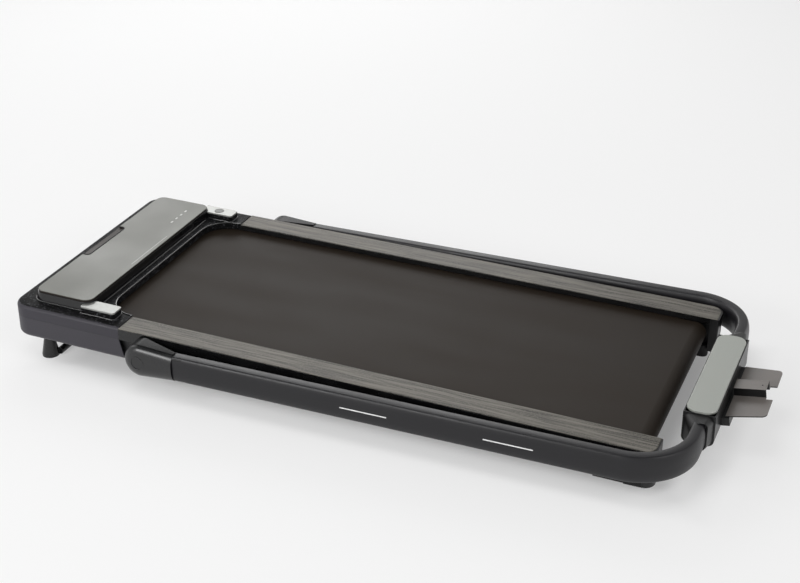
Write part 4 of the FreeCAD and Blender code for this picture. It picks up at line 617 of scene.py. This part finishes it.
class WALKINGPAD_OT_handlebar(bpy.types.Operator):
    """Model the tubes and pivot covers, and finish the handlebar, its pivots and its rests"""
    bl_idname = "walking_pad.handlebar"
    bl_label = "Handlebar"

    def execute(self, context):
        tube_coat = powder_coat("tube_powder_coat", colours().tube)
        near_tube = crowned_tube("tube_left", *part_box("handlebar_post_left"))
        near_cover = pivot_cover("cover_left", *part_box("pivot_cover_left"))
        near_ring = cover_ring("cover_ring_left", *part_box("pivot_cover_left"))
        far_tube = mirrored(near_tube, "tube_right")
        far_cover = mirrored(near_cover, "cover_right")
        far_ring = mirrored(near_ring, "cover_ring_right")
        near = ("left", 1, near_tube, near_cover, near_ring)
        far = ("right", -1, far_tube, far_cover, far_ring)
        for side, inward, tube, cover, ring in (near, far):
            post_node = "handlebar_post_" + side
            cover_node = "pivot_cover_" + side
            cover_coat = cover_plastic(cover_node + "_satin", colours().cover, 0.27, inward)
            dress(tube_coat, post_node)
            dress(cover_coat, cover_node)
            fit(tube, tube_coat, "handlebar")
            fit(cover, cover_coat, "handlebar")
            fit(ring, cover_coat, "handlebar")
            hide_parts(post_node)
            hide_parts(cover_node)
        dress(powder_coat("bracket_powder_coat", colours().black, 0.45), "hinge_brackets", "hinge_blocks")
        dress(bare_metal("pin_zinc", tone(172, 172, 168), 0.28), "pivot_pins")
        dress(satin_plastic("bush_polymer", tone(206, 202, 190), 0.5), "pivot_bushes")
        dress(rubber("rest_rubber", tone(24, 24, 25)), "handlebar_rests")
        return {"FINISHED"}


class WALKINGPAD_OT_console(bpy.types.Operator):
    """Finish the console, its keys and the phone holder"""
    bl_idname = "walking_pad.console"
    bl_label = "Console"

    def execute(self, context):
        dress(metal_paint("console_plate_paint", colours().plate, 0.38, 0.3), "console_back_plate")
        dress(satin_plastic("console_black", colours().black, 0.34, 1.0), "console_housing",
              "console_collars")
        dress(bare_metal("crossbar_steel", tone(120, 120, 122), 0.4, (1, 0.05, 1)), "console_crossbar")
        dress(smoked_window("console_window"), "console_display")
        dress(rubber("console_key_rubber", tone(58, 58, 60), 0.6), "console_button_minus",
              "console_button_start", "console_button_plus")
        # The holder's upright faces take the black as a painted shade.
        dress(powder_coat("holder_painted_sheet", colours().sheet, 0.36, colours().black), "phone_holder")
        dress(satin_plastic("holder_bracket_black", colours().black, 0.4), "phone_holder_bracket")
        dress(bare_metal("console_screw_steel", tone(140, 140, 142), 0.3), "console_screws")
        return {"FINISHED"}


class WALKINGPAD_OT_running_gear(bpy.types.Operator):
    """Finish the steel frame, the drive, the feet and the wheels"""
    bl_idname = "walking_pad.running_gear"
    bl_label = "Running gear"

    def execute(self, context):
        dress(powder_coat("frame_powder_coat", tone(26, 26, 28), 0.5), "frame_side_members",
              "frame_cross_members", "motor_mount", "wheel_brackets")
        dress(bare_metal("motor_can_steel", tone(120, 120, 124), 0.34, (1, 0.1, 1)), "drive_motor")
        dress(bare_metal("pulley_cast_metal", tone(158, 156, 152), 0.36), "motor_rotor",
              "drive_roller_pulley")
        dress(bare_metal("controller_ribbed_metal", tone(170, 170, 172), 0.4, (1, 0.1, 1)),
              "motor_controller")
        dress(bare_metal("screw_zinc", tone(160, 160, 158), 0.3), "hood_screws", "belt_tension_screws")
        dress(glossy_plastic("foot_gloss_black", colours().black, 0.25), "front_feet")
        dress(rubber("foot_rubber", tone(20, 20, 21)), "rear_feet")
        dress(rubber("wheel_rubber", tone(44, 44, 46)), "transport_wheel_left", "transport_wheel_right")
        return {"FINISHED"}


def printed_mark(name):
    """White print, thin in places."""
    finish = Finish(name, colours().mark, 0.45)
    thin = finish.spread(finish.noise(0.0015, 3), 0.5, 0.8)
    finish.shade(finish.mix(thin, colours().mark, lighter(colours().mark, 0.8)))
    finish.rough(thin, 0, 1, 0.08)
    finish.bump(thin, 0.00002, 0.3)
    return finish.material


# Modelled pieces: reach for joining points, how squarely a face looks along an axis, steps of round forms
MERGE_REACH = 0.00002
FACING = 0.99
ROD_POINTS = 12
CORNER_STEPS = 12
BEND_STEPS = 20
DRUM_POINTS = 96
ROUND_STEPS = 16
RING_STEPS = 64


def start_rod(name, place, along, radius):
    """Ring of points in edit mode, the open end from which a rod is drawn."""
    bpy.ops.object.select_all(action="DESELECT")
    turn = Vector((0, 0, 1)).rotation_difference(Vector(along)).to_euler()
    bpy.ops.mesh.primitive_circle_add(vertices=ROD_POINTS, radius=radius, location=place, rotation=turn)
    rod = bpy.context.object
    rod.name = name
    rod.data.name = name
    bpy.ops.object.transform_apply(location=True, rotation=True, scale=True)
    bpy.ops.object.mode_set(mode="EDIT")
    bpy.ops.mesh.select_all(action="SELECT")
    return rod


def run(x, y):
    """Draws the open end of the rod on."""
    bpy.ops.mesh.extrude_region_move(TRANSFORM_OT_translate={"value": (x, y, 0)})


def turn(centre, angle, steps=8):
    """Swings the open end of the rod round an upright axis, to the left where the angle is above nothing."""
    bpy.ops.mesh.spin(steps=steps, angle=-angle, center=centre, axis=(0, 0, 1))


def close_rod():
    bpy.ops.mesh.select_all(action="SELECT")
    bpy.ops.mesh.fill_holes(sides=0)
    bpy.ops.mesh.normals_make_consistent(inside=False)
    bpy.ops.object.mode_set(mode="OBJECT")
    bpy.ops.object.shade_smooth_by_angle(angle=math.radians(40))


def bent_rod(name, start, reach, half, corner, radius):
    """Rod bent like a U: out along X by the reach, across to the other side, and back."""
    x, y, z = start
    way = math.copysign(1, reach)
    straight = reach - way * corner
    quarter = way * math.pi / 2
    rod = start_rod(name, start, (way, 0, 0), radius)
    run(straight, 0)
    turn((x + straight, y + corner, z), quarter)
    run(0, 2 * (half - corner))
    turn((x + straight, y + 2 * half - corner, z), quarter)
    run(-straight, 0)
    close_rod()
    return rod


def straight_rod(name, start, length, radius):
    """Rod laid across the pad."""
    rod = start_rod(name, start, (0, 1, 0), radius)
    run(0, length)
    close_rod()
    return rod


def thin_bar(name, place, lengths):
    """Flat bar with softened edges."""
    bpy.ops.object.select_all(action="DESELECT")
    bpy.ops.mesh.primitive_cube_add(size=1, location=place, scale=lengths)
    bar = bpy.context.object
    bar.name = name
    bar.data.name = name
    bpy.ops.object.transform_apply(location=True, rotation=True, scale=True)
    bpy.ops.object.mode_set(mode="EDIT")
    bpy.ops.mesh.select_all(action="SELECT")
    bpy.ops.mesh.bevel(offset=min(lengths) * 0.3, segments=2, affect="EDGES")
    bpy.ops.mesh.normals_make_consistent(inside=False)
    bpy.ops.object.mode_set(mode="OBJECT")
    return bar


def copy_along(piece, name, x, y):
    """Copy of a piece with its own mesh, moved over."""
    bpy.ops.object.select_all(action="DESELECT")
    piece.select_set(True)
    bpy.context.view_layer.objects.active = piece
    bpy.ops.object.duplicate(linked=False)
    copy = bpy.context.object
    copy.name = name
    copy.data.name = name
    bpy.ops.transform.translate(value=(x, y, 0))
    bpy.ops.object.transform_apply(location=True, rotation=True, scale=True)
    return copy


def tip_up(piece):
    """Takes a piece from the level frame of the base to its place on the tipped base."""
    bpy.ops.object.select_all(action="DESELECT")
    piece.select_set(True)
    bpy.context.view_layer.objects.active = piece
    piece.rotation_euler = (0, sizes().incline, 0)
    piece.location = (0, 0, sizes().lift)
    bpy.ops.object.transform_apply(location=True, rotation=True, scale=True)


def fit(piece, material, body):
    """Gives a modelled piece its finish and lets it move with a body."""
    piece.data.materials.append(material)
    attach(piece, body)


def pick(mesh, wanted):
    """Selects the faces of the mesh in edit mode that pass the test, and nothing else."""
    bpy.ops.mesh.select_mode(type="FACE")
    bpy.ops.mesh.select_all(action="DESELECT")
    shape = bmesh.from_edit_mesh(mesh)
    shape.normal_update()
    for face in shape.faces:
        face.select_set(wanted(face))
    bmesh.update_edit_mesh(mesh)


def merge_points():
    """Joins points that a cut left on top of each other."""
    bpy.ops.mesh.select_all(action="SELECT")
    bpy.ops.mesh.remove_doubles(threshold=MERGE_REACH)


def crowned_tube(name, low, high):
    """Bent tube of the near side, drawn from a section with tall oval corners that crown its sides."""
    size = sizes()
    height = high[2] - low[2]
    squash = size.tube_round_width / size.tube_round_height
    middle_y = low[1] + size.tube_width / 2
    start = (low[0], middle_y, (low[2] + high[2]) / 2)
    bend_x = high[0] - size.tube_width / 2 - size.tube_bend
    bpy.ops.object.select_all(action="DESELECT")
    bpy.ops.mesh.primitive_plane_add(size=1, location=start, rotation=(0, math.pi / 2, 0))
    tube = bpy.context.object
    tube.name = name
    tube.data.name = name
    tube.scale = (height * squash, size.tube_width, 1)
    bpy.ops.object.transform_apply(location=True, rotation=True, scale=True)
    bpy.ops.object.mode_set(mode="EDIT")
    bpy.ops.mesh.select_all(action="SELECT")
    bpy.ops.mesh.delete(type="ONLY_FACE")
    bpy.ops.mesh.select_mode(type="VERT")
    bpy.ops.mesh.select_all(action="SELECT")
    bpy.ops.mesh.bevel(offset=size.tube_round_width, segments=CORNER_STEPS, affect="VERTICES")
    bpy.ops.mesh.select_all(action="SELECT")
    bpy.ops.transform.resize(value=(1, 1, 1 / squash), center_override=start)
    run(bend_x - low[0], 0)
    turn((bend_x, middle_y + size.tube_bend, start[2]), math.pi / 2, BEND_STEPS)
    run(0, high[1] - middle_y - size.tube_bend)
    close_rod()
    return tube


def pivot_cover(name, low, high):
    """Near pivot cover: a drum drawn out to the rear, rounded outside, bevelled on its inner top, hollow."""
    size = sizes()
    radius = (high[2] - low[2]) / 2
    pivot_x = low[0] + radius
    pivot_z = low[2] + radius
    inner = high[1]
    straight = size.cover_thickness - size.cover_round_out
    rear_half = size.cover_rear_height / 2
    overlong = high[0] - pivot_x + size.cover_round_in
    overlong_half = radius - (radius - rear_half) * overlong / (high[0] - pivot_x)
    bpy.ops.object.select_all(action="DESELECT")
    bpy.ops.mesh.primitive_cylinder_add(
        vertices=DRUM_POINTS, radius=radius, depth=straight, rotation=(math.pi / 2, 0, 0),
        location=(pivot_x, inner - straight / 2, pivot_z))
    cover = bpy.context.object
    cover.name = name
    cover.data.name = name
    bpy.ops.object.transform_apply(location=True, rotation=True, scale=True)
    bpy.ops.object.mode_set(mode="EDIT")
    bpy.ops.mesh.select_all(action="SELECT")
    bpy.ops.mesh.bisect(plane_co=(pivot_x, 0, 0), plane_no=(1, 0, 0), use_fill=True, clear_outer=True)
    merge_points()
    pick(cover.data, lambda face: face.normal.x > FACING)
    bpy.ops.mesh.extrude_region_move(TRANSFORM_OT_translate={"value": (overlong, 0, 0)})
    bpy.ops.transform.resize(value=(1, 1, overlong_half / radius), center_override=(pivot_x, 0, pivot_z))
    pick(cover.data, lambda face: face.normal.y < -FACING)
    bpy.ops.mesh.dissolve_faces()
    for step in range(ROUND_STEPS):
        before = math.pi / 2 * step / ROUND_STEPS
        after = math.pi / 2 * (step + 1) / ROUND_STEPS
        inward = size.cover_round_in * (math.cos(before) - math.cos(after))
        outward = size.cover_round_out * (math.sin(after) - math.sin(before))
        bpy.ops.mesh.inset(thickness=inward, depth=outward)
    bpy.ops.mesh.select_all(action="SELECT")
    bpy.ops.mesh.bisect(plane_co=(high[0], 0, 0), plane_no=(1, 0, 0), use_fill=True, clear_outer=True)
    merge_points()
    top = pivot_z + radius
    rear_top = pivot_z + rear_half
    start = Vector((pivot_x, inner, top))
    across = Vector((high[0], inner - size.cover_bevel, rear_top))
    down = Vector((high[0], inner, rear_top - size.cover_bevel))
    upward = (across - start).cross(down - start).normalized()
    if upward.z < 0:
        upward.negate()
    bpy.ops.mesh.select_all(action="SELECT")
    bpy.ops.mesh.bisect(plane_co=start, plane_no=upward, use_fill=True, clear_outer=True)
    merge_points()
    pick(cover.data, lambda face: face.normal.x > FACING)
    bpy.ops.mesh.dissolve_faces()
    bpy.ops.mesh.inset(thickness=size.cover_lip)
    bpy.ops.mesh.extrude_region_move(TRANSFORM_OT_translate={"value": (-size.cover_lip_depth, 0, 0)})
    innermost = inner - MERGE_REACH
    pick(cover.data, lambda face: face.normal.y > FACING and face.calc_center_median().y > innermost)
    bpy.ops.mesh.dissolve_faces()
    for wall, depth in ((size.cover_wall, size.cover_hollow), (size.cover_pin_wall, size.cover_pin_hollow)):
        bpy.ops.mesh.inset(thickness=wall)
        bpy.ops.mesh.extrude_region_move(TRANSFORM_OT_translate={"value": (0, -depth, 0)})
    bpy.ops.mesh.select_all(action="SELECT")
    bpy.ops.mesh.normals_make_consistent(inside=False)
    bpy.ops.object.mode_set(mode="OBJECT")
    bpy.ops.object.shade_smooth_by_angle(angle=math.radians(30))
    return cover


def cover_ring(name, low, high):
    """Raised ring on the outer side of the near pivot cover, about the pivot."""
    size = sizes()
    radius = (high[2] - low[2]) / 2
    centre = Vector((low[0] + radius, high[1] - size.cover_thickness, low[2] + radius))
    ring = start_rod(name, centre + Vector((size.cover_ring, 0, 0)), (0, 0, 1), size.cover_ring_line)
    bpy.ops.mesh.spin(steps=RING_STEPS, angle=2 * math.pi, center=centre, axis=(0, 1, 0))
    merge_points()
    close_rod()
    return ring


def mirrored(piece, name):
    """Copy of a near piece with its own mesh, turned over to the far side."""
    copy = copy_along(piece, name, 0, 0)
    bpy.ops.object.mode_set(mode="EDIT")
    bpy.ops.mesh.select_all(action="SELECT")
    bpy.ops.transform.resize(value=(1, -1, 1), center_override=(0, 0, 0))
    bpy.ops.mesh.normals_make_consistent(inside=False)
    bpy.ops.object.mode_set(mode="OBJECT")
    return copy


class WALKINGPAD_OT_hood_beads(bpy.types.Operator):
    """Model the beads round the belt mouth, the bezel and the cap plinths, and the line round the recess"""
    bl_idname = "walking_pad.hood_beads"
    bl_label = "Hood beads"

    def execute(self, context):
        size = sizes()
        gloss = glossy_plastic("bead_gloss_black", colours().bezel, 0.18, 1.0)
        mouth = bent_rod("mouth_bead", (-size.hood_rear, -size.mouth_half, size.shoulder), -size.mouth_reach,
                         size.mouth_half, size.mouth_corner, size.bead)
        front = bent_rod("bezel_bead_front", (-size.plinth_front, -size.bezel_half, size.shoulder),
                         size.plinth_front - size.bezel_front, size.bezel_half, size.bezel_corner, size.bead)
        inner = size.plinth_side - size.plinth_width / 2
        rear = straight_rod("bezel_bead_rear", (-size.bezel_rear, -inner, size.shoulder), 2 * inner,
                            size.bead)
        outer = size.plinth_side + size.plinth_width / 2
        left = bent_rod("plinth_bead_left", (-size.plinth_front, -outer, size.shoulder), size.plinth_length,
                        size.plinth_width / 2, size.plinth_corner, size.bead)
        right = copy_along(left, "plinth_bead_right", 0, 2 * size.plinth_side)
        for piece in (mouth, front, rear, left, right):
            tip_up(piece)
            fit(piece, gloss, "base")
        line = bent_rod("recess_line", (-size.panel_front, -size.recess_half, size.panel_top),
                        size.recess_reach, size.recess_half, size.recess_corner, size.line)
        tip_up(line)
        fit(line, satin_plastic("recess_line_black", colours().bezel, 0.5), "base")
        hatch = thin_bar("hatch_line", (-size.hatch_from_middle, 0, size.panel_top),
                         (size.hatch_width, size.hatch_length, size.stripe_film))
        tip_up(hatch)
        fit(hatch, metal_paint("hatch_line_silver", colours().cap), "base")
        return {"FINISHED"}


class WALKINGPAD_OT_stripes(bpy.types.Operator):
    """Print two stripes on the near tube"""
    bl_idname = "walking_pad.stripes"
    bl_label = "Stripes"

    def execute(self, context):
        size = sizes()
        low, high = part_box("handlebar_post_left")
        middle = (size.stripe_first + size.stripe_length / 2, low[1], (low[2] + high[2]) / 2)
        lengths = (size.stripe_length, size.stripe_film, size.stripe_height)
        first = thin_bar("tube_stripe_front", middle, lengths)
        second = copy_along(first, "tube_stripe_rear", size.stripe_second - size.stripe_first, 0)
        print_white = printed_mark("stripe_white_print")
        for piece in (first, second):
            fit(piece, print_white, "handlebar")
        return {"FINISHED"}


# Studio
def soft_lamp(name, place, target, width, height, power):
    """Rectangular soft lamp turned to a point."""
    bpy.ops.object.light_add(type="AREA", location=place)
    lamp = bpy.context.object
    lamp.name = name
    lamp.data.shape = "RECTANGLE"
    lamp.data.size = width
    lamp.data.size_y = height
    lamp.data.energy = power
    lamp.rotation_euler = (Vector(target) - Vector(place)).to_track_quat("-Z", "Y").to_euler()


def darken_above(world, background, low, high):
    """World light that fades from the horizon to a darker ceiling."""
    nodes = world.node_tree.nodes
    links = world.node_tree.links
    direction = nodes.new("ShaderNodeTexCoord")
    upward = nodes.new("ShaderNodeSeparateXYZ")
    fade = nodes.new("ShaderNodeMapRange")
    fade.inputs["From Min"].default_value = 0.3
    fade.inputs["From Max"].default_value = 0.85
    fade.inputs["To Min"].default_value = low
    fade.inputs["To Max"].default_value = high
    links.new(direction.outputs["Generated"], upward.inputs["Vector"])
    links.new(upward.outputs["Z"], fade.inputs["Value"])
    links.new(fade.outputs["Result"], background.inputs["Strength"])


def glow_in_sight(finish, low, high, strength):
    """Gives the floor a share of glow, low under the pad and high round it, seen and mirrored only."""
    path = finish.nodes.new("ShaderNodeLightPath")
    seen = finish.most(path.outputs["Is Camera Ray"], path.outputs["Is Glossy Ray"])
    middle = finish.nodes.new("ShaderNodeMapping")
    middle.inputs["Location"].default_value = (0, sizes().floor_shift, 0)
    finish.links.new(finish.place.outputs["Object"], middle.inputs["Vector"])
    away = finish.nodes.new("ShaderNodeSeparateXYZ")
    finish.links.new(middle.outputs["Vector"], away.inputs["Vector"])
    beside = finish.spread(finish.size_of(away.outputs["Y"]), 0.24, 0.32)
    beyond = finish.spread(finish.size_of(away.outputs["X"]), 0.58, 0.68)
    share = finish.spread(finish.most(beside, beyond), 0, 1, low, high)
    factor = finish.times(seen, share)
    glow = finish.nodes.new("ShaderNodeEmission")
    glow.inputs["Strength"].default_value = strength
    blend = finish.nodes.new("ShaderNodeMixShader")
    finish.links.new(factor, blend.inputs["Fac"])
    finish.links.new(finish.shader.outputs["BSDF"], blend.inputs[1])
    finish.links.new(glow.outputs["Emission"], blend.inputs[2])
    finish.links.new(blend.outputs["Shader"], finish.nodes["Material Output"].inputs["Surface"])


class WALKINGPAD_OT_studio(bpy.types.Operator):
    """Set up the pale floor, the soft lamps, the world and the camera"""
    bl_idname = "walking_pad.studio"
    bl_label = "Studio"

    def execute(self, context):
        scene = context.scene
        scene.view_settings.view_transform = "Standard"
        bpy.ops.mesh.primitive_plane_add(size=sizes().floor_side, location=(0, sizes().floor_shift, 0))
        floor = context.object
        floor.name = "studio_floor"
        finish = Finish("floor_pale_paper", colours().floor, 0.9)
        cloud = finish.spread(finish.noise(1.5, 2), 0.3, 0.7)
        finish.shade(finish.mix(cloud, lighter(colours().floor, 0.985), colours().floor))
        finish.set("Specular IOR Level", 0.1)
        floor.data.materials.append(finish.material)
        glow_in_sight(finish, 0.22, 0.58, 0.96)

        world = bpy.data.worlds.new("studio_world")
        scene.world = world
        world.use_nodes = True
        background = world.node_tree.nodes["Background"]
        background.inputs["Color"].default_value = (1, 1, 1, 1)
        darken_above(world, background, 0.85, 0.12)
        soft_lamp("lamp_above", (-0.4, -0.4, 3.4), (0, 0, 0), 1.5, 1.5, 18)
        soft_lamp("lamp_back", (-1.5, 2.5, 1.6), (-0.2, 0, 0.1), 2.4, 1.2, 29)
        soft_lamp("lamp_front", (-1.4, -2.9, 1.6), (-0.1, -0.2, 0.1), 1.8, 0.9, 46)
        soft_lamp("lamp_left", (-3.2, 0.2, 2.4), (0, 0, 0.1), 2.0, 2.0, 20)
        soft_lamp("lamp_right", (3.0, -0.8, 2.4), (0.3, 0, 0.1), 2.0, 2.0, 28)

        bpy.ops.object.camera_add(location=(0.9760, -2.2961, 1.4802))
        camera = context.object
        camera.name = "photo_camera"
        azimuth = math.radians(23.115)
        elevation = math.radians(28.122)
        roll = math.radians(-0.63)
        back = Vector((math.sin(azimuth) * math.cos(elevation), -math.cos(azimuth) * math.cos(elevation),
                       math.sin(elevation)))
        aim = (-back).to_track_quat("-Z", "Y").to_matrix().to_4x4()
        camera.rotation_euler = aim.to_euler()
        camera.rotation_euler.rotate_axis("Z", roll)
        camera.data.lens = sizes().lens
        camera.data.sensor_width = 36
        camera.data.clip_end = 50
        scene.camera = camera
        return {"FINISHED"}


OPERATORS = (
    WALKINGPAD_OT_hood, WALKINGPAD_OT_hood_beads, WALKINGPAD_OT_rails, WALKINGPAD_OT_belt,
    WALKINGPAD_OT_handlebar, WALKINGPAD_OT_stripes, WALKINGPAD_OT_console, WALKINGPAD_OT_running_gear,
    WALKINGPAD_OT_studio,
)


class WALKINGPAD_PT_looks(bpy.types.Panel):
    """Lists the steps that dress the walking pad"""
    bl_idname = "WALKINGPAD_PT_looks"
    bl_label = "Walking pad"
    bl_space_type = "VIEW_3D"
    bl_region_type = "UI"
    bl_category = "Walking pad"

    def draw(self, context):
        for operator in OPERATORS:
            self.layout.operator(operator.bl_idname)


CLASSES = (WalkingPadColours, WalkingPadSizes, *OPERATORS, WALKINGPAD_PT_looks)


def register():
    for item in CLASSES:
        bpy.utils.register_class(item)
    bpy.types.Scene.walking_pad_colours = bpy.props.PointerProperty(type=WalkingPadColours)
    bpy.types.Scene.walking_pad_sizes = bpy.props.PointerProperty(type=WalkingPadSizes)


def unregister():
    del bpy.types.Scene.walking_pad_sizes
    del bpy.types.Scene.walking_pad_colours
    for item in reversed(CLASSES):
        bpy.utils.unregister_class(item)


def main():
    register()
    bpy.ops.object.select_all(action="DESELECT")
    bpy.ops.walking_pad.hood()
    bpy.ops.walking_pad.hood_beads()
    bpy.ops.walking_pad.rails()
    bpy.ops.walking_pad.belt()
    bpy.ops.walking_pad.handlebar()
    bpy.ops.walking_pad.stripes()
    bpy.ops.walking_pad.console()
    bpy.ops.walking_pad.running_gear()
    bpy.ops.walking_pad.studio()


if __name__ == "__main__":
    main()
